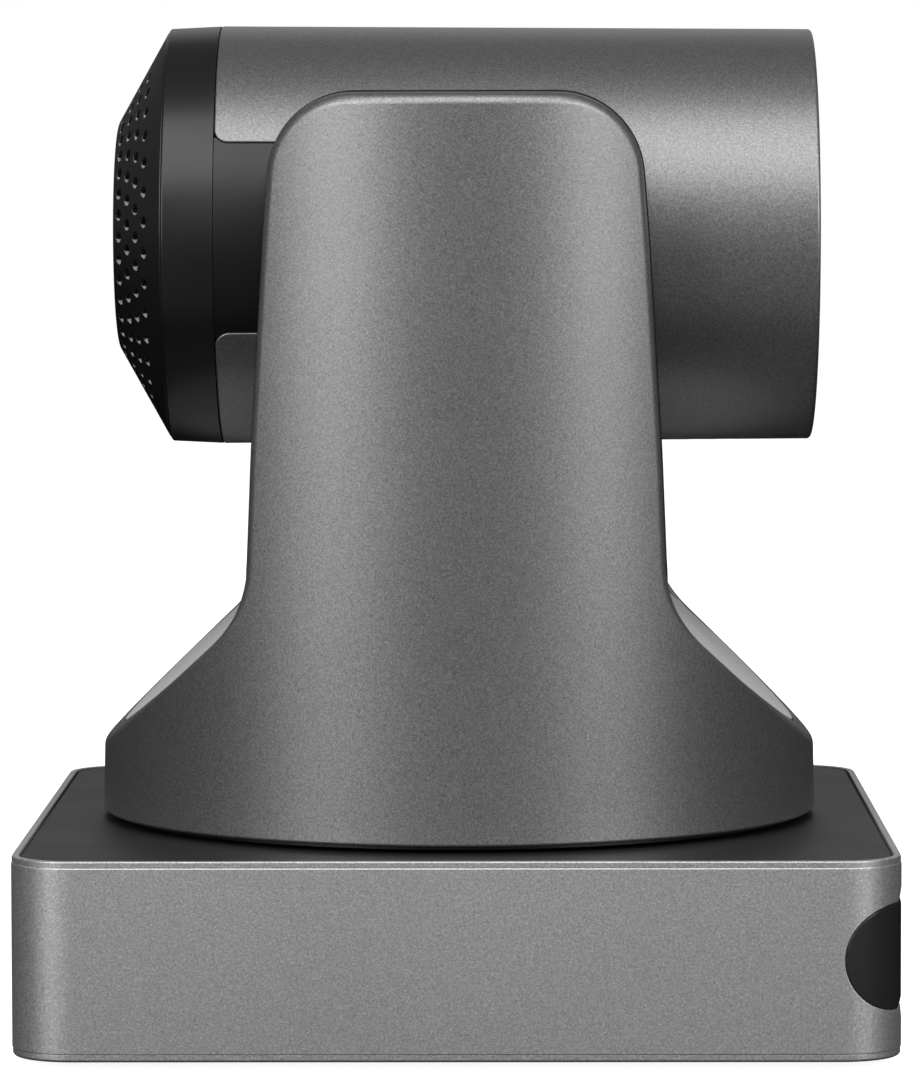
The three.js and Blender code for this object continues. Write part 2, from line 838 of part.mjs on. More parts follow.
add(head, "zoom_lead_screw", rodX(1.15, -8.5, 36.5, 0, TILT_Z + SCREW_R, 12), paint.brass);
add(
  head,
  "focus_motor",
  rodX(4.5, 12, 21, 0, TILT_Z - SCREW_R, 20).subtract(rodX(1.5, 5, 15, 0, TILT_Z - SCREW_R, 12)),
  paint.steel,
);
add(head, "focus_lead_screw", rodX(1.15, -12, 14.5, 0, TILT_Z - SCREW_R, 12), paint.brass);
let chassis = rodX(31.5, -22.7, -20.4, 0, TILT_Z, 28).subtract(rodX(13, -30, -10, 0, TILT_Z, 16));
for (const sy of [-1, 1])
  chassis = chassis.add(
    box(-22.7, 20, Math.min(sy * 27, sy * 29.4), Math.max(sy * 27, sy * 29.4), TILT_Z - 12.5, TILT_Z + 12.5),
  );
chassis = chassis.subtract(rodY(5.5, -60, 60, 0, TILT_Z, 12));
add(head, "head_chassis", chassis, paint.steel);
add(
  head,
  "sensor_board",
  box(-25.2, -23.6, -17, 17, TILT_Z - 17, TILT_Z + 17).add(
    box(-23.8, -21.5, -6, 6, TILT_Z - 5, TILT_Z + 5),
  ),
  paint.board,
);

export default camera;
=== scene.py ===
import bpy
import json
import math
import random
import numpy as np
from mathutils import Matrix, Vector
from mathutils.geometry import delaunay_2d_cdt


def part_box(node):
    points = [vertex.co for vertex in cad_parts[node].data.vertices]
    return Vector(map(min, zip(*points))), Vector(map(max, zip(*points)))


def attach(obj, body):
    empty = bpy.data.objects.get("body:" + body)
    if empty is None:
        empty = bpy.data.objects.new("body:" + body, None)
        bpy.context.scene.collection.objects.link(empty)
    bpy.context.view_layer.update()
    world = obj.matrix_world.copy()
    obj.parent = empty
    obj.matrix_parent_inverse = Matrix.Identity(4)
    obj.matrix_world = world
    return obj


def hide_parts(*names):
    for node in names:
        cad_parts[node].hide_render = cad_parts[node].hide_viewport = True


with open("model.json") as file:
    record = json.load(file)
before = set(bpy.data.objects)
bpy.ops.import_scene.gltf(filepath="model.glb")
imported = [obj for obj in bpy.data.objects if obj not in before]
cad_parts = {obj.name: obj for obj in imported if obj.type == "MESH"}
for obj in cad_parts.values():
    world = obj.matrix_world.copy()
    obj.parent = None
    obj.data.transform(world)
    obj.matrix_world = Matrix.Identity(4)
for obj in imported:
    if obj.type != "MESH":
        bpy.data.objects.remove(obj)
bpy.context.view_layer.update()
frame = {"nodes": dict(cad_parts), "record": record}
NODES = frame["nodes"]

# ------------------------------------------------------------------ sizes, in millimetres
BASE_HALF = 71.0
BASE_R = 10.0
FOOT_H = 1.3
PLATE_TOP = 2.6
BASE_TOP = 33.3
SKIRT_Z = 34.25
ARM_TOP = 154.5
FLOOR_Z = 68.8
TILT_Z = 131.0
WINDOW_Z = 17.5
WINDOW_H = 8.5
WINDOW_SIDE = 9.4
IO_HALF = 56.0


def shell_r(z):
    return 60.3 - (z - 34.7) * 0.02164


# ------------------------------------------------------------------ a small mesh maker
class Mesh:
    """Collects faces with a normal at each corner, in millimetres, and merges points that coincide."""

    def __init__(self):
        self.key = {}
        self.co = []
        self.faces = []
        self.normals = []
        self.mats = []
        self.mat = 0

    def point(self, p):
        k = (round(p[0] * 2000), round(p[1] * 2000), round(p[2] * 2000))
        i = self.key.get(k)
        if i is None:
            i = len(self.co)
            self.key[k] = i
            self.co.append((p[0], p[1], p[2]))
        return i

    def face(self, pts, nrm):
        ids = [self.point(p) for p in pts]
        keep, kn = [], []
        for i, n in zip(ids, nrm):
            if not keep or (i != keep[-1]):
                keep.append(i)
                kn.append(n)
        while len(keep) > 1 and keep[0] == keep[-1]:
            keep.pop()
            kn.pop()
        if len(set(keep)) < 3 or len(set(keep)) != len(keep):
            return
        q = [np.array(self.co[i]) for i in keep]
        g = np.zeros(3)
        for a, b in zip(q, q[1:] + q[:1]):
            g += np.cross(a, b)
        want = np.sum(np.array(kn), axis=0)
        if float(g @ want) < 0:
            keep.reverse()
            kn.reverse()
        self.faces.append(keep)
        self.normals.append([tuple(x) for x in kn])
        self.mats.append(self.mat)

    def grid(self, P, N, wrap_u=False, wrap_v=False):
        P = np.asarray(P, float)
        N = np.asarray(N, float)
        m, n = P.shape[:2]
        for i in range(m if wrap_u else m - 1):
            a = i
            b = (i + 1) % m
            for j in range(n if wrap_v else n - 1):
                c = j
                d = (j + 1) % n
                self.face(
                    [P[a, c], P[b, c], P[b, d], P[a, d]],
                    [N[a, c], N[b, c], N[b, d], N[a, d]],
                )

    def mirrored(self, axis):
        out = Mesh()
        s = np.ones(3)
        s[axis] = -1
        for f, n, k in zip(self.faces, self.normals, self.mats):
            out.mat = k
            out.face([np.array(self.co[i]) * s for i in f], [np.array(x) * s for x in n])
        return out

    def merge(self, other):
        for f, n, k in zip(other.faces, other.normals, other.mats):
            old = self.mat
            self.mat = k
            self.face([other.co[i] for i in f], n)
            self.mat = old
        return self

    def build(self, name, materials, body, slot=None, replaces=()):
        me = bpy.data.meshes.new(name)
        co = np.array(self.co, float) / 1000
        me.from_pydata([tuple(c) for c in co], [], self.faces)
        for k in range(len(me.polygons)):
            me.polygons[k].material_index = self.mats[k]
        me.polygons.foreach_set("use_smooth", [True] * len(me.polygons))
        flat = [tuple(x) for n in self.normals for x in n]
        if me.validate(verbose=False):
            print("mesh", name, "was repaired")
        else:
            me.normals_split_custom_set(flat)
        me.update()
        o = bpy.data.objects.new(name, me)
        bpy.context.scene.collection.objects.link(o)
        for m in materials if isinstance(materials, (list, tuple)) else [materials]:
            me.materials.append(m)
        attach(o, body)
        if replaces:
            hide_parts(*([replaces] if isinstance(replaces, str) else replaces))
        return o


def unit(v):
    v = np.asarray(v, float)
    return v / max(np.linalg.norm(v), 1e-12)


def outline(corners, closed=True, step=None):
    """A polyline with rounded corners. corners are (x, y) or (x, y, radius).
    Gives segments (p, q, np, nq) whose normals point to the right of the way they run."""
    pts = [np.array(c[:2], float) for c in corners]
    rad = [c[2] if len(c) > 2 else 0.0 for c in corners]
    n = len(pts)
    ent, ext, arcs = [], [], []
    for i in range(n):
        r = rad[i]
        if r <= 0 or (not closed and i in (0, n - 1)):
            ent.append(pts[i])
            ext.append(pts[i])
            arcs.append(None)
            continue
        a = unit(pts[i - 1] - pts[i])
        b = unit(pts[(i + 1) % n] - pts[i])
        half = math.acos(max(-1, min(1, float(a @ b)))) / 2
        t = r / math.tan(half)
        centre = pts[i] + unit(a + b) * (r / math.sin(half))
        s = pts[i] + a * t
        e = pts[i] + b * t
        a0 = math.atan2(*(s - centre)[::-1])
        a1 = math.atan2(*(e - centre)[::-1])
        while a1 - a0 > math.pi:
            a1 -= 2 * math.pi
        while a1 - a0 < -math.pi:
            a1 += 2 * math.pi
        k = max(2, int(math.ceil(abs(a1 - a0) / math.radians(11))))
        k = max(k, int(math.ceil(abs(a1 - a0) * r / (step or 2.5))))
        arc = []
        sign = 1 if a1 > a0 else -1
        for j in range(k + 1):
            t2 = a0 + (a1 - a0) * j / k
            d = np.array([math.cos(t2), math.sin(t2)])
            arc.append((centre + r * d, d * sign))
        ent.append(s)
        ext.append(e)
        arcs.append(arc)
    out = []
    for i in range(n):
        if arcs[i]:
            for (p, a), (q, b) in zip(arcs[i], arcs[i][1:]):
                out.append((p, q, a, b))
        if i == n - 1 and not closed:
            break
        j = (i + 1) % n
        p, q = ext[i], ent[j]
        length = float(np.linalg.norm(q - p))
        if length < 1e-6:
            continue
        d = (q - p) / length
        nr = np.array([d[1], -d[0]])
        k = max(1, int(math.ceil(length / step))) if step else 1
        for m in range(k):
            out.append((p + (q - p) * m / k, p + (q - p) * (m + 1) / k, nr, nr))
    return out


def area(corners):
    return sum(
        a[0] * b[1] - b[0] * a[1] for a, b in zip(corners, list(corners[1:]) + [corners[0]])
    ) / 2


class Axes:
    """Turns (radius, height, angle) into points: the height runs along the axis."""

    def __init__(self, origin, axis, zero):
        self.o = np.array(origin, float)
        self.h = unit(axis)
        self.u = unit(zero)
        self.v = np.cross(self.h, self.u)

    def at(self, r, h, t):
        return self.o + self.h * h + (self.u * math.cos(t) + self.v * math.sin(t)) * r

    def dir(self, r, h, t):
        return self.h * h + (self.u * math.cos(t) + self.v * math.sin(t)) * r


UP = Axes((0, 0, 0), (0, 0, 1), (1, 0, 0))
BARREL = Axes((0, 0, TILT_Z), (1, 0, 0), (0, 1, 0))


def lathe(mesh, profile, ax=UP, n=96, closed=True, step=None, a0=0.0, a1=None):
    """Turns a closed profile of (radius, height[, corner radius]) about ax."""
    if closed and area(profile) < 0:
        profile = list(reversed(profile))
    segs = outline(profile, closed, step)
    whole = a1 is None
    angles = [a0 + (2 * math.pi if whole else a1 - a0) * i / n for i in range(n + (0 if whole else 1))]
    for p, q, np_, nq in segs:
        if p[0] < 1e-6 and q[0] < 1e-6:
            continue
        P = [[ax.at(p[0], p[1], t) for t in angles], [ax.at(q[0], q[1], t) for t in angles]]
        N = [[ax.dir(np_[0], np_[1], t) for t in angles], [ax.dir(nq[0], nq[1], t) for t in angles]]
        mesh.grid(P, N, wrap_v=whole)
    return mesh


def round_rect(hx, hy, r, k=8, cx=0.0, cy=0.0, step=None):
    """Points and outward normals round a rounded rectangle, anticlockwise."""
    pts, nrm = [], []
    for sx, sy, a in ((1, 1, 0), (-1, 1, 90), (-1, -1, 180), (1, -1, 270)):
        for i in range(k + 1):
            t = math.radians(a + 90 * i / k)
            d = (math.cos(t), math.sin(t))
            pts.append((cx + sx * (hx - r) + r * d[0], cy + sy * (hy - r) + r * d[1]))
            nrm.append(d)
    if step:
        P, N = [], []
        for i in range(len(pts)):
            j = (i + 1) % len(pts)
            P.append(pts[i])
            N.append(nrm[i])
            d = math.dist(pts[i], pts[j])
            m = int(d // step)
            for q in range(1, m + 1):
                f = q / (m + 1)
                P.append(tuple(np.array(pts[i]) * (1 - f) + np.array(pts[j]) * f))
                N.append(nrm[i])
        pts, nrm = P, N
    return np.array(pts, float), np.array(nrm, float)


def circle(r, k=48, cx=0.0, cy=0.0):
    t = np.arange(k) * 2 * math.pi / k
    d = np.stack([np.cos(t), np.sin(t)], 1)
    return d * r + np.array([cx, cy]), d


class Plane:
    """Takes a flat (a, b) and a height along n to a point."""

    def __init__(self, origin, a, b):
        self.o = np.array(origin, float)
        self.a = unit(a)
        self.b = unit(b)
        self.n = np.cross(self.a, self.b)

    def at(self, p, h=0.0):
        return self.o + self.a * p[0] + self.b * p[1] + self.n * h

    def dir(self, p, h=0.0):
        return self.a * p[0] + self.b * p[1] + self.n * h


FLAT = Plane((0, 0, 0), (1, 0, 0), (0, 1, 0))


def inside(poly, pts):
    x, y = pts[:, 0], pts[:, 1]
    c = np.zeros(len(pts), bool)
    n = len(poly)
    j = n - 1
    for i in range(n):
        xi, yi = poly[i]
        xj, yj = poly[j]
        cross = ((yi > y) != (yj > y)) & (x < (xj - xi) * (y - yi) / ((yj - yi) or 1e-12) + xi)
        c ^= cross
        j = i
    return c


def fill(outer, holes=(), step=None, margin=0.45):
    """Triangles over a flat region with holes, with a grid of inner points step apart."""
    loops = [np.asarray(outer, float)] + [np.asarray(h, float) for h in holes]
    pts = [p for l in loops for p in l]
    edges = []
    k = 0
    for l in loops:
        edges += [(k + i, k + (i + 1) % len(l)) for i in range(len(l))]
        k += len(l)
    if step:
        lo, hi = loops[0].min(0), loops[0].max(0)
        sx, sy = (step, step) if not hasattr(step, "__len__") else step
        gx = np.arange(lo[0] + sx / 2, hi[0], sx)
        gy = np.arange(lo[1] + sy / 2, hi[1], sy)
        g = np.array([(x, y) for x in gx for y in gy])
        if len(g):
            ok = inside(loops[0], g)
            for h in loops[1:]:
                ok &= ~inside(h, g)
            g = g[ok]
            b = np.array(pts)
            if len(g):
                d = np.array([np.min(np.hypot(((b - p) / np.array([sx, sy]))[:, 0], ((b - p) / np.array([sx, sy]))[:, 1])) for p in g])
                pts += list(g[d > margin])
    res = delaunay_2d_cdt([Vector((float(p[0]), float(p[1]))) for p in pts], edges, [], 0, 1e-7)
    v = np.array([(p.x, p.y) for p in res[0]])
    tris = np.array([list(f) for f in res[2]])
    mid = v[tris].mean(1)
    ok = inside(loops[0], mid)
    for h in loops[1:]:
        ok &= ~inside(h, mid)
    return v, tris[ok]


def cover(mesh, outer, holes, at, normal, step=None):
    v, tris = fill(outer, holes, step)
    P = [at(p) for p in v]
    N = [normal(p) for p in v]
    for t in tris:
        mesh.face([P[i] for i in t], [N[i] for i in t])


def slab(mesh, pts, nrm, z0, z1, b0=0.0, b1=0.0, plane=FLAT, holes=(), k=4, step=None, flip=False):
    """A flat plate with an outline that is smooth all round, its edges rounded by b0 below and b1 above.
    holes are (points, outward normals, rounding above, rounding below)."""

    def rings(P, N, c0, c1, sign):
        out = []
        if c0 > 0:
            for i in range(k + 1):
                t = math.pi / 2 * i / k
                out.append((P - sign * N * c0 * (1 - math.sin(t)), z0 + c0 * (1 - math.cos(t)), (math.sin(t), -math.cos(t))))
        else:
            out.append((P, z0, (1, 0)))
        if c1 > 0:
            for i in range(k + 1):
                t = math.pi / 2 * i / k
                out.append((P - sign * N * c1 * (1 - math.cos(t)), z1 - c1 * (1 - math.sin(t)), (math.cos(t), math.sin(t))))
        else:
            out.append((P, z1, (1, 0)))
        G = [[plane.at(p, z) for p in Q] for Q, z, _ in out]
        M = [[plane.dir(sign * n * w[0], w[1]) for n in N] for _, _, w in out]
        mesh.grid(G, M, wrap_v=True)
        return out[0][0], out[-1][0]

    lo, hi = rings(np.asarray(pts), np.asarray(nrm), b0, b1, 1)
    hl, hh = [], []
    for h in holes:
        c0 = h[3] if len(h) > 3 else 0.0
        c1 = h[2] if len(h) > 2 else 0.0
        a, b = rings(np.asarray(h[0]), np.asarray(h[1]), c0, c1, -1)
        hl.append(a)
        hh.append(b)
    cover(mesh, lo, hl, lambda p: plane.at(p, z0), lambda p: -plane.n, step)
    cover(mesh, hi, hh, lambda p: plane.at(p, z1), lambda p: plane.n, step)


def block(mesh, x0, x1, y0, y1, z0, z1, r=0.2, b=0.15):
    """A box with rounded upright edges and rounded rims."""
    p, n = round_rect((x1 - x0) / 2, (y1 - y0) / 2, r, 3, (x0 + x1) / 2, (y0 + y1) / 2)
    slab(mesh, p, n, z0, z1, b, b, k=2)
    return mesh


# ------------------------------------------------------------------ materials
def new_material(name):
    m = bpy.data.materials.new(name)
    m.use_nodes = True
    nt = m.node_tree
    bsdf = nt.nodes["Principled BSDF"]
    return m, nt, bsdf


def node(nt, kind, **kw):
    n = nt.nodes.new(kind)
    for k, v in kw.items():
        if k.startswith("in_"):
            n.inputs[k[3:].replace("_", " ")].default_value = v
        else:
            setattr(n, k, v)
    return n


def ramp(nt, src, stops, kind="LINEAR"):
    r = nt.nodes.new("ShaderNodeValToRGB")
    r.color_ramp.interpolation = kind
    while len(r.color_ramp.elements) < len(stops):
        r.color_ramp.elements.new(0.5)
    for e, (p, c) in zip(r.color_ramp.elements, stops):
        e.position = p
        c = (c, c, c) if not hasattr(c, "__len__") else c
        e.color = (c[0], c[1], c[2], 1)
    nt.links.new(src, r.inputs["Fac"])
    return r


def speckled_paint(name, base, metallic, rough, flake=0.12, scale=5200, bump=0.03, coat=0.0, tint=(1, 1, 1)):
    """Metallic paint: fine flakes of different brightness and tilt, over a soft, wide mottle."""
    m, nt, b = new_material(name)
    tc = node(nt, "ShaderNodeTexCoord")
    fine = node(nt, "ShaderNodeTexNoise", in_Scale=scale, in_Detail=1.5, in_Roughness=0.6)
    grain = node(nt, "ShaderNodeTexNoise", in_Scale=scale * 0.45, in_Detail=2.0, in_Roughness=0.65)
    wide = node(nt, "ShaderNodeTexNoise", in_Scale=34.0, in_Detail=3.0, in_Roughness=0.5)
    for n in (fine, grain, wide):
        nt.links.new(tc.outputs["Object"], n.inputs["Vector"])
    lo = [c * base * (1 - flake) for c in tint]
    hi = [c * base * (1 + flake) for c in tint]
    r = ramp(nt, fine.outputs["Fac"], [(0.32, lo), (0.5, [c * base for c in tint]), (0.68, hi)])
    g = ramp(nt, grain.outputs["Fac"], [(0.3, 1 - flake * 0.6), (0.7, 1 + flake * 0.6)])
    mix = node(nt, "ShaderNodeMix", data_type="RGBA", blend_type="MULTIPLY")
    mix.inputs["Factor"].default_value = 1.0
    nt.links.new(r.outputs["Color"], mix.inputs[6])
    nt.links.new(g.outputs["Color"], mix.inputs[7])
    w = ramp(nt, wide.outputs["Fac"], [(0.3, 0.975), (0.7, 1.025)])
    mix2 = node(nt, "ShaderNodeMix", data_type="RGBA", blend_type="MULTIPLY")
    mix2.inputs["Factor"].default_value = 1.0
    nt.links.new(mix.outputs[2], mix2.inputs[6])
    nt.links.new(w.outputs["Color"], mix2.inputs[7])
    nt.links.new(mix2.outputs[2], b.inputs["Base Color"])
    b.inputs["Metallic"].default_value = metallic
    rr = node(nt, "ShaderNodeMapRange")
    rr.inputs["From Min"].default_value = 0.3
    rr.inputs["From Max"].default_value = 0.7
    rr.inputs["To Min"].default_value = rough - 0.035
    rr.inputs["To Max"].default_value = rough + 0.035
    nt.links.new(grain.outputs["Fac"], rr.inputs["Value"])
    nt.links.new(rr.outputs["Result"], b.inputs["Roughness"])
    bp = node(nt, "ShaderNodeBump")
    bp.inputs["Strength"].default_value = bump
    bp.inputs["Distance"].default_value = 0.0002
    nt.links.new(grain.outputs["Fac"], bp.inputs["Height"])
    nt.links.new(bp.outputs["Normal"], b.inputs["Normal"])
    if coat:
        b.inputs["Coat Weight"].default_value = coat
        b.inputs["Coat Roughness"].default_value = 0.25
    return m


def moulded(name, color, rough, scale=900, bump=0.08, spread=0.12, spec=0.5):
    """Moulded plastic or rubber: a spark-eroded grain that breaks up the gloss."""
    m, nt, b = new_material(name)
    tc = node(nt, "ShaderNodeTexCoord")
    grain = node(nt, "ShaderNodeTexNoise", in_Scale=scale, in_Detail=3.0, in_Roughness=0.6)
    wide = node(nt, "ShaderNodeTexNoise", in_Scale=45.0, in_Detail=3.0, in_Roughness=0.5)
    for n in (grain, wide):
        nt.links.new(tc.outputs["Object"], n.inputs["Vector"])
    r = ramp(nt, grain.outputs["Fac"], [(0.3, [c * (1 - spread) for c in color]), (0.7, [c * (1 + spread) for c in color])])
    nt.links.new(r.outputs["Color"], b.inputs["Base Color"])
    rr = node(nt, "ShaderNodeMapRange")
    rr.inputs["From Min"].default_value = 0.3
    rr.inputs["From Max"].default_value = 0.7
    rr.inputs["To Min"].default_value = max(0.02, rough - 0.05)
    rr.inputs["To Max"].default_value = min(1.0, rough + 0.05)
    nt.links.new(wide.outputs["Fac"], rr.inputs["Value"])
    nt.links.new(rr.outputs["Result"], b.inputs["Roughness"])
    b.inputs["Specular IOR Level"].default_value = spec
    bp = node(nt, "ShaderNodeBump")
    bp.inputs["Strength"].default_value = bump
    bp.inputs["Distance"].default_value = 0.0002
    nt.links.new(grain.outputs["Fac"], bp.inputs["Height"])
    nt.links.new(bp.outputs["Normal"], b.inputs["Normal"])
    return m


def metal(name, color, rough, stretch=(1, 1, 1), scale=300, bump=0.05):
    """Machined or rolled metal with fine lines along one way."""
    m, nt, b = new_material(name)
    tc = node(nt, "ShaderNodeTexCoord")
    mp = node(nt, "ShaderNodeMapping")
    mp.inputs["Scale"].default_value = stretch
    nt.links.new(tc.outputs["Object"], mp.inputs["Vector"])
    grain = node(nt, "ShaderNodeTexNoise", in_Scale=scale, in_Detail=4.0, in_Roughness=0.65)
    nt.links.new(mp.outputs["Vector"], grain.inputs["Vector"])
    r = ramp(nt, grain.outputs["Fac"], [(0.3, [c * 0.9 for c in color]), (0.7, [min(1, c * 1.08) for c in color])])
    nt.links.new(r.outputs["Color"], b.inputs["Base Color"])
    b.inputs["Metallic"].default_value = 1.0
    rr = node(nt, "ShaderNodeMapRange")
    rr.inputs["From Min"].default_value = 0.3
    rr.inputs["From Max"].default_value = 0.7
    rr.inputs["To Min"].default_value = max(0.03, rough - 0.07)
    rr.inputs["To Max"].default_value = rough + 0.07
    nt.links.new(grain.outputs["Fac"], rr.inputs["Value"])
    nt.links.new(rr.outputs["Result"], b.inputs["Roughness"])
    bp = node(nt, "ShaderNodeBump")
    bp.inputs["Strength"].default_value = bump
    bp.inputs["Distance"].default_value = 0.0001
    nt.links.new(grain.outputs["Fac"], bp.inputs["Height"])
    nt.links.new(bp.outputs["Normal"], b.inputs["Normal"])
    return m


M = {
    "grey": speckled_paint("grey_paint", 0.235, 0.82, 0.42, flake=0.30),
    "base": speckled_paint("base_paint", 0.54, 0.80, 0.44, flake=0.27),
    "light": speckled_paint("light_paint", 0.70, 0.30, 0.62, flake=0.09, bump=0.02),
    "black": moulded("black_satin", (0.004, 0.004, 0.0043), 0.37, scale=1500, bump=0.06),
    "panel": moulded("black_panel", (0.012, 0.012, 0.0125), 0.46, scale=1300, bump=0.10),
    "vent": moulded("black_vent", (0.008, 0.008, 0.0083), 0.34, scale=1300, bump=0.06),
# painted highlight: a pale grey laid on the lower wall of each vent hole, in place of the top light caught there
"hole": moulded("vent_hole_painted_highlight", (0.42, 0.42, 0.425), 0.45, scale=1300, bump=0.06),
    "insert": moulded("black_insert", (0.003, 0.003, 0.0032), 0.40, scale=1600, bump=0.07),
    "deep": moulded("deep_black", (0.004, 0.004, 0.004), 0.85, scale=700, bump=0.02),
    "baffle": moulded("matt_black", (0.006, 0.006, 0.0065), 0.72, scale=900, bump=0.05),
    "gloss": moulded("smoked_window", (0.022, 0.022, 0.0240), 0.17, scale=120, bump=0.004, spread=0.05),
    "rubber": moulded("rubber", (0.02, 0.02, 0.02), 0.8, scale=600, bump=0.15),
    "steel": metal("steel", (0.56, 0.57, 0.58), 0.30, (1, 1, 14), 260),
    "alloy": metal("alloy", (0.60, 0.61, 0.62), 0.42, (1, 1, 1), 500),
    "nickel": metal("nickel", (0.62, 0.61, 0.59), 0.22, (1, 1, 1), 350, 0.02),
    "brass": metal("brass", (0.72, 0.52, 0.24), 0.28, (1, 1, 8), 240),
    "gold": metal("gold", (0.86, 0.62, 0.27), 0.2, (1, 1, 1), 300, 0.01),
    "board": moulded("board", (0.012, 0.09, 0.035), 0.32, scale=260, bump=0.05, spread=0.2),
    "nylon": moulded("nylon", (0.72, 0.70, 0.62), 0.45, scale=500, bump=0.03, spread=0.03),
    "belt": moulded("belt", (0.012, 0.012, 0.012), 0.75, scale=700, bump=0.1),
    "blue": moulded("usb_blue", (0.01, 0.06, 0.30), 0.35, scale=400, bump=0.02),
    "green_led": moulded("led_green", (0.10, 0.42, 0.12), 0.25, scale=300, bump=0.01),
    "amber_led": moulded("led_amber", (0.62, 0.30, 0.03), 0.25, scale=300, bump=0.01),
}


def lens_glass():
    """Coated glass: a dark body with a faint violet-green sheen that follows the angle."""
    m, nt, b = new_material("coated_glass")
    lw = node(nt, "ShaderNodeLayerWeight")
    lw.inputs["Blend"].default_value = 0.35
    r = ramp(nt, lw.outputs["Facing"], [(0.0, (0.012, 0.010, 0.030)), (0.35, (0.030, 0.012, 0.050)), (0.7, (0.010, 0.040, 0.035)), (1.0, (0.004, 0.006, 0.008))])
    nt.links.new(r.outputs["Color"], b.inputs["Base Color"])
    b.inputs["Roughness"].default_value = 0.02
    b.inputs["IOR"].default_value = 1.6
    b.inputs["Coat Weight"].default_value = 0.8
    b.inputs["Coat Roughness"].default_value = 0.01
    b.inputs["Coat Tint"].default_value = (0.75, 0.82, 1.0, 1)
    return m


M["glass"] = lens_glass()

SLOT_LOOK = {
    "grey_paint": "grey", "base_paint": "base", "light_paint": "light", "black_satin": "black",
    "black_vent": "vent", "smoked_window": "gloss", "rubber": "rubber", "steel": "steel",
    "frame_alloy": "alloy", "brass": "brass", "board": "board", "nylon": "nylon",
    "lens_glass": "glass", "belt": "belt",
}
for sp in frame["record"]["subparts"]:
    o = NODES[sp["node"]]
    o.data.materials.clear()
    o.data.materials.append(M[SLOT_LOOK[sp["material_slot"]]])

# ------------------------------------------------------------------ base housing
EDGE = 0.25  # rounding of the rim
PER = []  # meant to hold the base's outline, points and normals from the middle of the rear side; left empty and not used


def base_ring(inset, k=12):
    """Outline of the base moved in by inset, the same number of points whatever the inset."""
    return round_rect(BASE_HALF - inset, BASE_HALF - inset, BASE_R - inset, k)


def wall_map():
    """Arc length round the base against place, for the outer face."""
    s = BASE_HALF - BASE_R
    q = math.pi / 2 * BASE_R
    total = 4 * (2 * s + q)

    def at(u, inset=0.0):
        # u = 0 at the middle of the front (+X) face, growing towards +Y
        u = u % total
        r = BASE_R
        seq = [("l", s, (1, 0), (0, 1)), ("c", q, (s, s), 0), ("l", 2 * s, (0, 1), (-1, 0)), ("c", q, (-s, s), 90),
               ("l", 2 * s, (-1, 0), (0, -1)), ("c", q, (-s, -s), 180), ("l", 2 * s, (0, -1), (1, 0)), ("c", q, (s, -s), 270),
               ("l", s, (1, 0), (0, 1))]
        first = True
        for i, item in enumerate(seq):
            if u <= item[1] + 1e-9:
                if item[0] == "l":
                    n = np.array(item[2], float)
                    d = np.array(item[3], float)
                    start = -item[1] / 2 if 0 < i < 8 else (0.0 if i == 0 else -s)
                    p = n * (BASE_HALF - inset) + d * (start + u)
                    return p, n
                t = math.radians(item[3]) + u / r
                n = np.array([math.cos(t), math.sin(t)])
                return np.array(item[2], float) + n * (r - inset), n
            u -= item[1]
        raise ValueError

    return at, total


WALL_AT, WALL_LEN = wall_map()


def wall_point(u, z, inset=0.0):
    p, n = WALL_AT(u, inset)
    return np.array([p[0], p[1], z])


def wall_normal(u):
    p, n = WALL_AT(u)
    return np.array([n[0], n[1], 0.0])


# arc length at which the window ends, on each side
U_CORNER = (BASE_HALF - BASE_R)
U_WINDOW = U_CORNER + math.pi / 2 * BASE_R + (BASE_HALF - BASE_R) - (BASE_HALF - WINDOW_SIDE - 0.0)
# the side flat starts at x = 61; the window's end lies at x = 71 - WINDOW_SIDE
U_WINDOW = U_CORNER + math.pi / 2 * BASE_R + ((BASE_HALF - BASE_R) - (BASE_HALF - WINDOW_SIDE))


def window_outline(grow, k=18):
    """The window's outline on the unrolled wall: points (u, z) and outward normals."""
    h = WINDOW_H + grow
    # the round end, as seen from the side, is a half ellipse WINDOW_SIDE deep whose middle is the front face
    end = []
    q = math.pi / 2 * BASE_R
    for i in range(k + 1):
        t = math.pi / 2 * (1 - i / k)  # from the top to the side
        x = BASE_HALF - (WINDOW_SIDE + grow) * math.cos(t)
        z = h * math.sin(t)
        s = BASE_HALF - BASE_R
        if x < s:
            u = U_CORNER + q + (s - x)
        else:
            u = U_CORNER + math.asin(min(1.0, (x - s) / BASE_R)) * -BASE_R + q
        end.append((u, z))
    upper = [p for p in end if p[0] > U_CORNER + 0.4]
    pts = []
    for u, z in upper:
        pts.append((u, WINDOW_Z + z))
    for u, z in reversed(upper[:-1]):
        pts.append((u, WINDOW_Z - z))
    # along the bottom, the far end, and back along the top
    n = int(2 * (U_CORNER + 0.4) / 3.0)
    a = U_CORNER + 0.2
    for i in range(1, n):
        pts.append((a - 2 * a * i / n, WINDOW_Z - h))
    for u, z in upper:
        pts.append((-u, WINDOW_Z - z))
    for u, z in reversed(upper[:-1]):
        pts.append((-u, WINDOW_Z + z))
    for i in range(1, n):
        pts.append((-a + 2 * a * i / n, WINDOW_Z + h))
    return np.array(pts)


def loop_normals(pts):
    """Outward normals of a closed loop of points."""
    p = np.asarray(pts, float)
    d = np.roll(p, -1, 0) - np.roll(p, 1, 0)
    n = np.stack([d[:, 1], -d[:, 0]], 1)
    n /= np.linalg.norm(n, axis=1)[:, None]
    a = float(np.sum(p[:, 0] * np.roll(p[:, 1], -1) - np.roll(p[:, 0], -1) * p[:, 1]))
    return n if a > 0 else -n


def inset_loop(pts, d):
    """The loop moved in by d."""
    return np.asarray(pts) - loop_normals(pts) * d


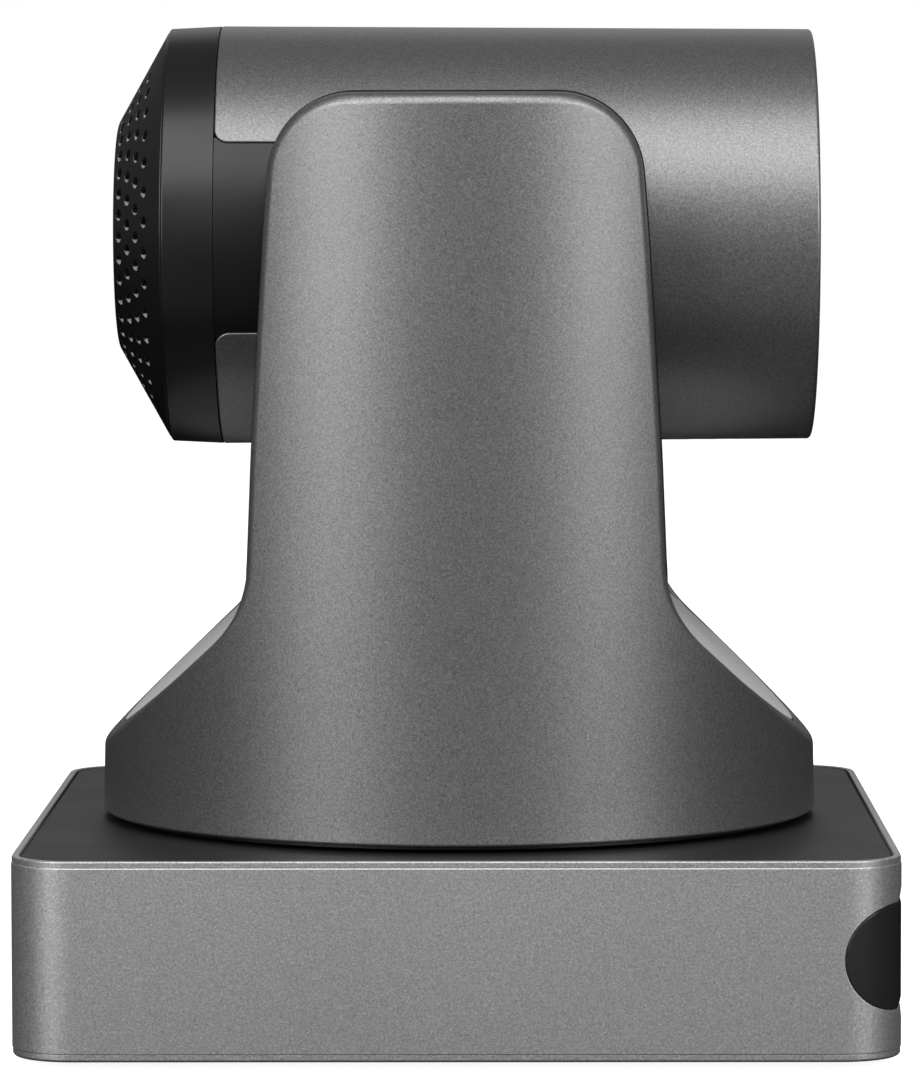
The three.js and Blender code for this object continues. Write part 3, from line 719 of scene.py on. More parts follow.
def lip(mesh, loop, f, depth, at, normal, tangent, hole=True, k=4):
    """Rounds the edge of a hole (or of a raised panel) and takes its wall down to depth.
    loop is the true edge, flat; at(p, d) places a flat point at depth d; tangent(n) turns a flat direction."""
    n = loop_normals(loop)
    sign = 1.0 if hole else -1.0  # the face lies outside a hole's loop, inside a panel's
    rows_p, rows_n = [], []
    for i in range(k + 1):
        t = math.pi / 2 * i / k
        q = loop + sign * n * f * (1 - math.sin(t))
        rows_p.append([at(p, f * (1 - math.cos(t))) for p in q])
        rows_n.append([normal(p) * math.cos(t) - sign * tangent(p, m) * math.sin(t) for p, m in zip(q, n)])
    rows_p.append([at(p, depth) for p in loop])
    rows_n.append([-sign * tangent(p, m) for p, m in zip(loop, n)])
    mesh.grid(rows_p, rows_n, wrap_v=True)
    return loop + sign * n * f


def wall_tangent(p, m):
    u = p[0]
    n = wall_normal(u)
    along = np.array([-n[1], n[0], 0.0])
    return along * m[0] + np.array([0, 0, 1.0]) * m[1]


def build_base_housing():
    me = Mesh()
    z0, z1 = PLATE_TOP, BASE_TOP
    wl = window_outline(0.13)
    f = 0.14
    # rear opening, on the unrolled wall, about the middle of the -X face
    mid = WALL_LEN / 2
    rp, rn = round_rect(IO_HALF + 0.15, 11.35, 2.6, 8, 0, 0, 4.0)
    io = rp + np.array([mid, WINDOW_Z])
    hw = lip(me, wl, f, 2.4, lambda p, d: wall_point(p[0], p[1], d), lambda p: wall_normal(p[0]), wall_tangent)
    hi = lip(me, io, 0.35, 2.4, lambda p, d: wall_point(p[0], p[1], d), lambda p: wall_normal(p[0]), wall_tangent)
    # the wall, unrolled from -L/4 to 3L/4, so both openings lie inside it
    a, b = -WALL_LEN / 4, WALL_LEN * 3 / 4
    n = int(WALL_LEN / 3.0)
    zs = np.linspace(z0 + 0.1, z1 - 1.28, 12)
    outer = [(a + (b - a) * i / n, zs[0]) for i in range(n + 1)]
    outer += [(b, z) for z in zs[1:-1]]
    outer += [(b - (b - a) * i / n, zs[-1]) for i in range(n + 1)]
    outer += [(a, z) for z in reversed(zs[1:-1])]
    outer = np.array(outer)
    cover(me, outer, [hw, hi], lambda p: wall_point(p[0], p[1]), lambda p: wall_normal(p[0]), 3.0)
    # rim: rounded top edge, flat, then down to the ledge under the panel
    us = [a + (b - a) * i / n for i in range(n + 1)]
    prof = [(0.0, z1 - 1.28, (1, 0)), (0.03, z1 - 1.17, (0.85, 0.5)), (0.12, z1 - 1.12, (0.6, 0.8)), (0.16, z1 - 1.10, (0.85, 0.5)),
            (0.17, z1 - 1.06, (1, 0)), (0.17, z1 - 1.02, (1, 0)), (0.12, z1 - 0.99, (0.8, -0.6)), (0.1, z1 - 0.95, (1, 0))]
    for i in range(6):
        t = math.pi / 2 * i / 5
        prof.append((0.1 + EDGE * (1 - math.cos(t)), z1 - EDGE * (1 - math.sin(t)), (math.cos(t), math.sin(t))))
    w = 1.25
    prof += [(w - 0.2, z1, (0, 1))]
    for i in range(1, 4):
        t = math.pi / 2 * i / 3
        prof.append((w - 0.2 + 0.2 * math.sin(t), z1 - 0.2 * (1 - math.cos(t)), (-math.sin(t), math.cos(t))))
    prof += [(w, z1 - 1.9, (-1, 0))]
    P = [[wall_point(u, z, d) for u in us] for d, z, _ in prof]
    N = [[wall_normal(u) * nn[0] + np.array([0, 0, nn[1]]) for u in us] for _, _, nn in prof]
    me.grid(P, N)
    # ledge and inner wall
    P = [[wall_point(u, z1 - 1.9, w) for u in us], [wall_point(u, z1 - 1.9, 2.4) for u in us]]
    me.grid(P, [[np.array([0, 0, 1.0])] * len(us)] * 2)
    P = [[wall_point(u, z1 - 1.9, 2.4) for u in us], [wall_point(u, z0, 2.4) for u in us]]
    # lower edge
    low = [(0.0, z0 + 0.1, (1, 0)), (0.03, z0 + 0.03, (0.7, -0.7)), (0.1, z0, (0, -1))]
    Pb = [[wall_point(u, z, d) for u in us] for d, z, _ in low] + [[wall_point(u, z0, 2.4) for u in us]]
    Nb = [[wall_normal(u) * nn[0] + np.array([0, 0, nn[1]]) for u in us] for _, _, nn in low] + [[np.array([0, 0, -1.0])] * len(us)]
    me.grid(Pb, Nb)
    # inside face, with the same two openings
    inner = []
    zi = np.linspace(z0, z1 - 1.9, 8)
    inner += [(a + (b - a) * i / n, zi[0]) for i in range(n + 1)]
    inner += [(b, z) for z in zi[1:-1]]
    inner += [(b - (b - a) * i / n, zi[-1]) for i in range(n + 1)]
    inner += [(a, z) for z in reversed(zi[1:-1])]
    cover(me, np.array(inner), [wl, io], lambda p: wall_point(p[0], p[1], 2.4), lambda p: -wall_normal(p[0]), 6.0)
    return me.build("base_housing_skin", M["base"], "base", "base_paint", "base_housing")


build_base_housing()


def build_window():
    me = Mesh()
    sink = 0.03
    wl = window_outline(0.0)
    face = lip(me, wl, 0.16, 1.9, lambda p, d: wall_point(p[0], p[1], sink + d), lambda p: wall_normal(p[0]), wall_tangent, hole=False)
    cover(me, face, [], lambda p: wall_point(p[0], p[1], sink), lambda p: wall_normal(p[0]), 3.0)
    cover(me, wl, [], lambda p: wall_point(p[0], p[1], sink + 1.9), lambda p: -wall_normal(p[0]), 6.0)
    return me.build("ir_window_skin", M["gloss"], "base", "smoked_window", "ir_window")


build_window()

# top panel of the base
me = Mesh()
p, n = round_rect(BASE_HALF - 1.55, BASE_HALF - 1.55, BASE_R - 1.55, 12, step=4.0)
hp, hn = circle(31, 72)
slab(me, p, n, BASE_TOP - 1.75, BASE_TOP - 0.25, 0.0, 0.22, holes=[(hp, hn, 0.2)], step=5.0)
me.build("base_top_panel_skin", M["panel"], "base", "black_satin", "base_top_panel")

# bottom plate, with a drafted lip, screw sinks and a ring round the tripod insert
me = Mesh()
p, n = round_rect(BASE_HALF - 0.12, BASE_HALF - 0.12, BASE_R - 0.12, 12, step=5.0)
holes = []
for sx in (-1, 1):
    for sy in (-1, 1):
        holes.append((*circle(3.3, 28, sx * 61.5, sy * 61.5), 0.0, 0.2))
holes.append((*circle(7.15, 48), 0.0, 0.2))
slots = []
for j in range(-3, 4):
    hp, hn = round_rect(9.0, 0.9, 0.88, 5, 30.0, j * 4.4)
    slots.append((hp, hn, 0.0, 0.15))
    hp, hn = round_rect(9.0, 0.9, 0.88, 5, -30.0, j * 4.4)
    slots.append((hp, hn, 0.0, 0.15))
slab(me, p, n, FOOT_H, PLATE_TOP - 0.06, 0.5, 0.05, holes=holes + slots, step=6.0)
me.build("bottom_plate_skin", M["base"], "base", "frame_alloy", "base_bottom_plate")
# a dark sheet behind the slots: painted shade standing in for the dark inside of the base
me = Mesh()
p, n = round_rect(44, 20, 3, 6)
hp, hn = circle(8.2, 40)
slab(me, p, n, PLATE_TOP + 0.05, PLATE_TOP + 0.6, 0.0, 0.1, holes=[(hp, hn, 0.1)])
me.build("slot_shade_sheet", M["deep"], "base", "black_satin")

# case screws with a cross recess
k = 0
for sx in (-1, 1):
    for sy in (-1, 1):
        k += 1
        me = Mesh()
        cx, cy = sx * 61.5, sy * 61.5
        ax = Axes((cx, cy, 0), (0, 0, 1), (1, 0, 0))
        pts, w, l = [], 0.35, 1.5
        for q in range(4):
            t = math.radians(45 + 90 * q)
            c, s = math.cos(t), math.sin(t)
            for a, b in ((w, w), (l, w), (l, -w)):
                pts.append((cx + c * a - s * b, cy + s * a + c * b))
        order = sorted(range(12), key=lambda i: math.atan2(pts[i][1] - cy, pts[i][0] - cx))
        cross = np.array([pts[i] for i in order])
        rim, _ = circle(2.35, 40, cx, cy)
        cover(me, rim, [cross], lambda p: np.array([p[0], p[1], 1.45]), lambda p: np.array([0, 0, -1.0]))
        for i in range(12):
            a, b = cross[i], cross[(i + 1) % 12]
            d = unit(np.array([b[1] - a[1], a[0] - b[0], 0]))
            me.face([(a[0], a[1], 1.45), (b[0], b[1], 1.45), (b[0], b[1], 2.5), (a[0], a[1], 2.5)], [-d] * 4)
        cover(me, cross, [], lambda p: np.array([p[0], p[1], 2.5]), lambda p: np.array([0, 0, -1.0]))
        prof = [(2.35, 1.45, (0, -1)), (2.65, 1.53, (0.5, -0.86)), (2.85, 1.75, (1, 0)), (2.85, 2.3, (1, 0))]
        A = [math.radians(9 * i) for i in range(40)]
        me.grid([[ax.at(r, h, t) for t in A] for r, h, _ in prof], [[ax.dir(nn[0], nn[1], t) for t in A] for _, _, nn in prof], wrap_v=True)
        prof = [(2.85, 2.3), (1.5, 3.4), (1.5, 9.0), (0.0, 9.0)]
        for (r0, h0), (r1, h1) in zip(prof, prof[1:]):
            nn = unit((h1 - h0, -(r1 - r0)))
            nn = nn if nn[0] > 0 or (nn[0] == 0 and nn[1] > 0) else -nn
            if r1 == 0:
                nn = np.array([0, 1.0])
            me.grid([[ax.at(r0, h0, t) for t in A], [ax.at(r1, h1, t) for t in A]], [[ax.dir(nn[0], nn[1], t) for t in A]] * 2, wrap_v=True)
        me.build(f"case_screw_{k}", M["steel"], "base", "steel")

# feet: a round pad with a rounded rim and a shallow dish
for i in range(1, 5):
    lo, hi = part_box(f"rubber_foot_{i}")
    cx, cy = (lo.x + hi.x) * 500, (lo.y + hi.y) * 500
    me = Mesh()
    ax = Axes((cx, cy, 0), (0, 0, 1), (1, 0, 0))
    lathe(me, [(0, 0.35), (3.4, 0.35, 0.3), (4.0, 0.0, 0.3), (6.45, 0.0, 0.55), (6.45, FOOT_H - 0.02), (0, FOOT_H - 0.02)], ax, 56)
    me.build(f"rubber_foot_{i}_skin", M["rubber"], "base", "rubber", f"rubber_foot_{i}")

# tripod insert, with its thread as turned ridges
me = Mesh()
prof = [(7.0, FOOT_H + 0.05, 0.3), (7.0, 11), (0, 11), (0, 9.5), (3.2, 9.5)]
z = 9.2
while z > 2.6:
    prof += [(3.2, z), (2.75, z - 0.55), (3.2, z - 1.1)]
    z -= 1.27
prof += [(3.2, 2.2), (3.9, FOOT_H + 0.05)]
lathe(me, prof, UP, 64)
me.build("tripod_insert_skin", M["brass"], "base", "brass", "tripod_insert")

# ------------------------------------------------------------------ turning shell
def thicken(mesh, depth):
    """Closes an open surface into a shell: a copy moved in by depth, joined along every free edge."""
    acc = [np.zeros(3) for _ in mesh.co]
    for f, nn in zip(mesh.faces, mesh.normals):
        for i, n in zip(f, nn):
            acc[i] += np.array(n)
    inner = [np.array(c) - unit(a) * depth for c, a in zip(mesh.co, acc)]
    uses = {}
    for f in mesh.faces:
        for a, b in zip(f, f[1:] + f[:1]):
            uses.setdefault((min(a, b), max(a, b)), []).append((a, b))
    out = Mesh()
    base = len(mesh.co)
    out.co = list(mesh.co) + [tuple(p) for p in inner]
    out.faces = [list(f) for f in mesh.faces]
    out.normals = [list(n) for n in mesh.normals]
    out.mats = list(mesh.mats)
    for f, nn, k in zip(mesh.faces, mesh.normals, mesh.mats):
        out.faces.append([i + base for i in reversed(f)])
        out.normals.append([tuple(-np.array(n)) for n in reversed(nn)])
        out.mats.append(k)
    for e, list_ in uses.items():
        if len(list_) == 1:
            a, b = list_[0]
            pa, pb, qa = (np.array(out.co[i]) for i in (a, b, a + base))
            n = unit(np.cross(pb - pa, qa - pa))
            out.faces.append([b, a, a + base, b + base])
            out.normals.append([tuple(-n)] * 4)
            out.mats.append(0)
    return out


ARM_LINE = [(64.5, 70.1 - 0.927 * (64.5 - 34.1)), (34.1, 70.1, 20.0), (33.0, 97.0, 420.0), (31.0, 131.0, 420.0), (29.15, ARM_TOP, 13.8), (0.0, ARM_TOP)]


class Line:
    """A rounded outline measured along its length: place and outward normal at s."""

    def __init__(self, segs):
        self.p, self.n, self.s = [segs[0][0]], [segs[0][2]], [0.0]
        for p, q, a, b in segs:
            if not np.allclose(a, self.n[-1], atol=1e-6):
                self.n[-1] = a
            self.p.append(q)
            self.n.append(b)
            self.s.append(self.s[-1] + float(np.linalg.norm(q - p)))
        self.p, self.n, self.s = np.array(self.p), np.array(self.n), np.array(self.s)

    def at(self, s):
        return np.array([np.interp(s, self.s, self.p[:, k]) for k in (0, 1)])

    def normal(self, s):
        return unit([np.interp(s, self.s, self.n[:, k]) for k in (0, 1)])

    def find(self, p, near):
        """Length at which the outline passes closest to p, looked for around near."""
        best = None
        for s in np.linspace(near - 6, near + 6, 241):
            d = float(np.linalg.norm(self.at(s) - p))
            if best is None or d < best[0]:
                best = (d, s)
        return min(max(best[1], 0.0), float(self.s[-1]))


ARM = Line(outline(ARM_LINE, closed=False, step=0.6))
COVER_ARC_C, COVER_ARC_R, COVER_HALF = -10.9, 67.5, 36.4
SEAM_Y = 38.5
GROOVE = 0.40


def quarter_of_shell():
    me = Mesh()
    total = float(ARM.s[-1])
    # where the outline meets the round shell in the middle plane
    lo, hi = 0.0, 20.0
    for _ in range(50):
        mid = (lo + hi) / 2
        x, z = ARM.at(mid)
        if x > shell_r(z):
            lo = mid
        else:
            hi = mid
    s0 = hi
    # samples along the edge: close together near the middle plane, where the edge turns quickly
    x0, z0 = ARM.at(s0)
    ss = [s0]
    for deg in list(np.arange(1.5, 46, 1.5)):
        x = shell_r(50.0) * math.cos(math.radians(deg))
        if x < 41.5:
            break
        ss.append(s0 + (x0 - x) / 0.7333)
    s = ss[-1]
    while s < total - 1.2:
        x, z = ARM.at(s)
        d = 0.75 if (30 > x and z > 139) or z < 80 else 1.8
        s += d
        if s < total - 0.4:
            ss.append(s)
    ss.append(total)
    rows_p = [[] for _ in range(7)]
    rows_n = [[] for _ in range(7)]
    ta, tb = [], []
    for s in ss:
        x, z = ARM.at(s)
        r_out = shell_r(z)
        y = math.sqrt(max(0.0, r_out * r_out - x * x))
        e = np.array([x, y, z])
        if s == total:
            e[0] = 0.0
        n2 = ARM.normal(s)
        na = unit([n2[0], 0, n2[1]])
        nb = unit([x / r_out, y / r_out, 0.0216])
        if s == ss[0]:
            nb = unit([1, 0, 0.0216])
            e[1] = 0.0
        if s == total:
            na = np.array([0, 0, 1.0])
            nb = unit([0, 1, 0.0216])
        phi = math.degrees(math.atan2(e[1], e[0]))
        blend = min(1.0, max(0.0, (46 - phi) / 46))
        rise = min(1.0, max(0.0, (z - 66) / 9))
        r = 0.75 + 1.35 * rise * rise * (3 - 2 * rise) + 2.0 * blend * blend * (3 - 2 * blend)
        c = float(na @ nb)
        centre = e - (na + nb) * (r / (1 + c))
        a_pt = centre + na * r
        b_pt = centre + nb * r
        if s == ss[0]:
            a_pt[1] = b_pt[1] = 0.0
        sa = ARM.find(np.array([a_pt[0], a_pt[2]]), s) if s != total else total
        ya = max(0.0, a_pt[1])
        # put the lower tangent point back on the round shell
        rb = shell_r(b_pt[2])
        rho = math.hypot(b_pt[0], b_pt[1])
        b_pt = np.array([b_pt[0] * rb / rho, b_pt[1] * rb / rho, b_pt[2]])
        q = ARM.at(sa)
        a_pt = np.array([q[0], ya, q[1]])
        ta.append((sa, ya))
        tb.append((math.atan2(b_pt[1], b_pt[0]), b_pt[2]))
        w = math.acos(max(-1, min(1, c)))
        for k in range(7):
            t = k / 6
            nn = na if w < 1e-6 else (na * math.sin((1 - t) * w) + nb * math.sin(t * w)) / math.sin(w)
            nn = unit(nn)
            p = centre + nn * r
            if k == 0:
                p = a_pt
            elif k == 6:
                p = b_pt
            if s == ss[0]:
                p = np.array([p[0], 0.0, p[2]])
            if s == total:
                p = np.array([0.0, p[1], p[2]])
            rows_p[k].append(p)
            rows_n[k].append(nn)
    me.grid(rows_p, rows_n)
    # the round face under the edge
    zb = SKIRT_Z + 0.5
    k = 60.0
    outer = [(f * k, z) for f, z in tb]
    outer[0] = (0.0, outer[0][1])
    outer[-1] = (math.pi / 2 * k, outer[-1][1])
    top, left = outer[-1][1], outer[0][1]
    outer += [(math.pi / 2 * k, z) for z in np.linspace(top, zb, 50)[1:-1]]
    m = 40
    outer += [(math.pi / 2 * k * (1 - i / m), zb) for i in range(m + 1)]
    outer += [(0.0, z) for z in np.linspace(zb, left, 6)[1:-1]]

    def at(p):
        f, z = p[0] / k, p[1]
        return np.array([shell_r(z) * math.cos(f), shell_r(z) * math.sin(f), z])

    def normal(p):
        f = p[0] / k
        return unit([math.cos(f), math.sin(f), 0.0216])

    cover(me, outer, [], at, normal, 2.2)
    # rounded lower edge and a short turn inwards
    fs = [math.pi / 2 * (1 - i / m) for i in range(m + 1)]
    prof = [(0.5 * (1 - math.cos(t)), zb - 0.5 * math.sin(t), (math.cos(t), -math.sin(t))) for t in np.linspace(0, math.pi / 2, 5)]
    prof.append((1.2, SKIRT_Z, (0, -1)))
    P = [[np.array([(shell_r(zb) - d) * math.cos(f), (shell_r(zb) - d) * math.sin(f), z]) for f in fs] for d, z, _ in prof]
    N = [[np.array([nn[0] * math.cos(f), nn[0] * math.sin(f), nn[1]]) for f in fs] for _, _, nn in prof]
    me.grid(P, N)
    # the faces along the outline: slope and arm side
    s_front = None
    edge = []  # true edge of the inner boundary, from the middle plane to the top
    x_front = COVER_ARC_C + COVER_ARC_R + GROOVE
    r = COVER_ARC_R + GROOVE
    h = COVER_HALF + GROOVE
    a_end = math.asin((h - 3.0) / (r - 3.0))

    def s_at_x(x):
        lo, hi = 0.0, total
        for _ in range(60):
            mid = (lo + hi) / 2
            if ARM.at(mid)[0] > x:
                lo = mid
            else:
                hi = mid
        return hi

    def s_at_z(z):
        lo, hi = 0.0, total * 0.8
        for _ in range(60):
            mid = (lo + hi) / 2
            if ARM.at(mid)[1] < z:
                lo = mid
            else:
                hi = mid
        return hi

    for i in range(25):
        a = a_end * i / 24
        edge.append((s_at_x(COVER_ARC_C + r * math.cos(a)), r * math.sin(a)))
    # corner of radius 3 between the arc and the straight side
    cx = COVER_ARC_C + (r - 3.0) * math.cos(a_end)
    for i in range(1, 6):
        a = a_end + (math.pi / 2 - a_end) * i / 5
        edge.append((s_at_x(cx + 3.0 * math.cos(a)), h - 3.0 + 3.0 * math.sin(a)))
    s_step = s_at_z(FLOOR_Z + 0.35)
    s = edge[-1][0]
    while s < s_step - 1.5:
        s += 1.2
        if s < s_step - 0.5:
            edge.append((s, h))
    edge.append((s_step, h))
    edge.append((s_step, (h + SEAM_Y) / 2))
    edge.append((s_step, SEAM_Y))
    s = s_step
    while s < total - 1.8:
        x, z = ARM.at(s)
        s += 0.9 if z > 139 or z < 80 else 2.2
        if s < total - 0.6:
            edge.append((s, SEAM_Y))
    edge.append((total, SEAM_Y))
    edge = np.array(edge)
    d = np.zeros_like(edge)
    d[1:-1] = edge[2:] - edge[:-2]
    d[0] = (0, 1)
    d[-1] = (1, 0)
    en = np.stack([-d[:, 1], d[:, 0]], 1)
    en /= np.linalg.norm(en, axis=1)[:, None]
    # en points to the side of the slope and arm faces' material when it faces away from the cover
    test = edge[5] + en[5] * 0.5
    inward = -1.0 if (test[0] > edge[5][0]) else 1.0
    en = en * inward  # now towards the material
    f = 0.22

    def fat(p, depth=0.0):
        q = ARM.at(p[0])
        n2 = ARM.normal(p[0])
        return np.array([q[0] - n2[0] * depth, p[1], q[1] - n2[1] * depth])

    def fn(p):
        n2 = ARM.normal(p[0])
        return np.array([n2[0], 0, n2[1]])

    def ft(p, m):
        n2 = ARM.normal(p[0])
        t = np.array([-n2[1], 0, n2[0]])
        return unit(t * m[0] + np.array([0, 1.0, 0]) * m[1])

    rows_p, rows_n = [], []
    for i in range(4):
        t = math.pi / 2 * i / 3
        q = edge + en * f * (1 - math.sin(t))
        rows_p.append([fat(p, f * (1 - math.cos(t))) for p in q])
        rows_n.append([fn(p) * math.cos(t) - ft(p, m) * math.sin(t) for p, m in zip(q, en)])
    rows_p.append([fat(p, 1.4) for p in edge])
    rows_n.append([-ft(p, m) for p, m in zip(edge, en)])
    for row in rows_p:
        row[0][1] = 0.0
        row[-1][0] = 0.0
    me.grid(rows_p, rows_n)
    inner = edge + en * f
    inner[0][1] = 0.0
    inner[-1][0] = total
    loop = [tuple(p) for p in ta]
    loop += [(total, y) for y in np.linspace(ta[-1][1], inner[-1][1], 6)[1:-1]]
    loop += [tuple(p) for p in reversed(inner)]
    loop += [(s, 0.0) for s in np.linspace(inner[0][0], ta[0][0], 4)[1:-1]]
    clean = [loop[0]]
    for p in loop[1:]:
        if math.dist(p, clean[-1]) > 1e-5:
            clean.append(p)
    cover(me, clean, [], lambda p: fat(p), fn, 2.0)
    return me


q = quarter_of_shell()
half = Mesh().merge(q).merge(q.mirrored(0))
whole = Mesh().merge(half).merge(half.mirrored(1))
thicken(whole, 1.25).build("yoke_shell_skin", M["grey"], "yoke", "grey_paint", "yoke_shell")

# sloping covers with a short turn on to the floor
SLOPE_N = unit((0.927, 1.0))


def slope_cover(sign, name, nodename):
    me = Mesh()
    r, h = COVER_ARC_R, COVER_HALF
    a_end = math.asin((h - 2.8) / (r - 2.8))
    line = Line(outline([(64.5, 70.1 - 0.927 * 30.4), (35.5, FLOOR_Z + 0.0, 5.0), (33.0, FLOOR_Z)], closed=False, step=0.5))

    def s_at_x(x):
        lo, hi = 0.0, float(line.s[-1])
        for _ in range(60):
            mid = (lo + hi) / 2
            if line.at(mid)[0] > x:
                lo = mid
            else:
                hi = mid
        return hi

    loop = []
    arc = []
    for i in range(25):
        a = a_end * i / 24
        arc.append((s_at_x(COVER_ARC_C + r * math.cos(a)), r * math.sin(a)))
    cx = COVER_ARC_C + (r - 2.8) * math.cos(a_end)
    for i in range(1, 6):
        a = a_end + (math.pi / 2 - a_end) * i / 5
        arc.append((s_at_x(cx + 2.8 * math.cos(a)), h - 2.8 + 2.8 * math.sin(a)))
    s_top = s_at_x(33.6)
    for s in np.linspace(arc[-1][0], s_top, 18)[1:]:
        arc.append((s, h))
    top = [(s_top, y) for y in np.linspace(h, -h, 40)[1:-1]]
    loop = [(s, -y) for s, y in reversed(arc[1:])] + arc + top
    loop = np.array(loop)

    def at(p, d=0.0):
        q = line.at(p[0])
        n2 = line.normal(p[0])
        return np.array([sign * (q[0] - n2[0] * d), p[1], q[1] - n2[1] * d])

    def normal(p):
        n2 = line.normal(p[0])
        return np.array([sign * n2[0], 0, n2[1]])

    def tangent(p, m):
        n2 = line.normal(p[0])
        return unit(np.array([-n2[1] * sign, 0, n2[0]]) * m[0] + np.array([0, 1.0, 0]) * m[1])

    face = lip(me, loop, 0.25, 1.8, lambda p, d: at(p, d + 0.04), normal, tangent, hole=False, k=3)
    cover(me, face, [], lambda p: at(p, 0.04), normal, 3.0)
    cover(me, loop, [], lambda p: at(p, 1.84), lambda p: -normal(p), 6.0)
    return me.build(name, M["light"], "yoke", "light_paint", nodename)


slope_cover(1, "front_slope_cover_skin", "front_slope_cover")
slope_cover(-1, "rear_slope_cover_skin", "rear_slope_cover")

# floor between the arms
me = Mesh()
p, n = round_rect(33.45, COVER_HALF, 0.4, 3, step=4.0)
slab(me, p, n, FLOOR_Z - 1.9, FLOOR_Z, 0.0, 0.2, step=6.0, k=3)
me.build("floor_cover_skin", M["light"], "yoke", "light_paint", "floor_cover")

# inner halves of the arms, standing a little proud of the shell; behind each, a thin deep black strip along the seam
# is painted shade
def arm_face(proud):
    """Outline of an arm seen from the side, moved out by proud above the slopes."""
    z_low = FLOOR_Z + 0.3
    line = Line(outline(ARM_LINE, closed=False, step=1.2))
    pts, nrm = [], []
    for s in np.linspace(0, float(line.s[-1]), 190):
        x, z = line.at(s)
        if z < z_low + 1.0 or x > 40:
            continue
        n2 = line.normal(s)
        k = min(1.0, max(0.0, (z - 72.5) / 5))
        off = -0.08 + (proud + 0.08) * k * k * (3 - 2 * k)
        pts.append((x + off * n2[0], z + off * n2[1]))
        nrm.append(tuple(n2))
    x_low = pts[0][0]
    P = pts + [(-x, z) for x, z in reversed(pts[:-1])]
    N = nrm + [(-a, b) for a, b in reversed(nrm[:-1])]
    for i in range(1, 4):
        t = math.radians(180 + 90 * i / 3)
        P.append((-x_low + 1.0 + 1.0 * math.cos(t), z_low + 1.0 + 1.0 * math.sin(t)))
        N.append((math.cos(t), math.sin(t)))
    for x in np.linspace(-x_low + 1, x_low - 1, 20)[1:-1]:
        P.append((x, z_low))
        N.append((0, -1))
    for i in range(0, 3):
        t = math.radians(270 + 90 * i / 3)
        P.append((x_low - 1.0 + 1.0 * math.cos(t), z_low + 1.0 + 1.0 * math.sin(t)))
        N.append((math.cos(t), math.sin(t)))
    return P, N


for sy, nodename in ((1, "left_arm_inner_cover"), (-1, "right_arm_inner_cover")):
    pl = Plane((0, 0, 0), (1, 0, 0), (0, 0, 1))  # its own height runs along -Y
    hp, hn = circle(9.4, 64, 0, TILT_Z)
    me = Mesh()
    P, N = arm_face(0.30)
    if sy > 0:
        slab(me, P, N, -38.1, -36.5, 0.12, 0.7, plane=pl, holes=[(hp, hn, 0.5)], step=4.0)
    else:
        slab(me, P, N, 36.5, 38.1, 0.7, 0.12, plane=pl, holes=[(hp, hn, 0.0, 0.5)], step=4.0)
    me.build(nodename + "_skin", M["grey"], "yoke", "grey_paint", nodename)
    # painted shade: a thin deep black strip standing just proud of the cover's outline, in place of the shadow line
    # along the seam
    me = Mesh()
    P, N = arm_face(0.48)
    hp, hn = circle(10.5, 48, 0, TILT_Z)
    if sy > 0:
        slab(me, P, N, -38.4, -38.12, 0.0, 0.0, plane=pl, holes=[(hp, hn)], step=6.0)
    else:
        slab(me, P, N, 38.12, 38.4, 0.0, 0.0, plane=pl, holes=[(hp, hn)], step=6.0)
    me.build(("left" if sy > 0 else "right") + "_arm_seam_painted_shade", M["deep"], "yoke", "black_satin")

# dark ring under the shell
me = Mesh()
lathe(me, [(17.1, 30.0), (20, 30.0), (20, 33.5), (58.4, 33.5, 0.2), (58.4, 35.6), (20, 35.6), (20, 38.4), (17.1, 38.4)], UP, 128)
me.build("turntable_skin", M["black"], "yoke", "black_satin", "turntable")

# ------------------------------------------------------------------ head
BARREL_R, SHELL_REAR, BARREL_FRONT, BARREL_DRAFT = 35.15, -39.6, 59.4, 0.0065657
ROUND = 35.0  # flat length of one radian round the barrel
NOTCH = ROUND * math.asin(15.6 / 35.1)
CORNER = 2.4  # rounding of the shell beside the rear ring


def barrel_at(p, d=0.0):
    return BARREL.at(BARREL_R - (p[0] - SHELL_REAR) * BARREL_DRAFT - d, p[0], p[1] / ROUND)


def barrel_n(p):
    return unit(BARREL.dir(1.0, BARREL_DRAFT, p[1] / ROUND))


def barrel_t(p, m):
    t = p[1] / ROUND
    return BARREL.h * m[0] + (BARREL.v * math.cos(t) - BARREL.u * math.sin(t)) * m[1]


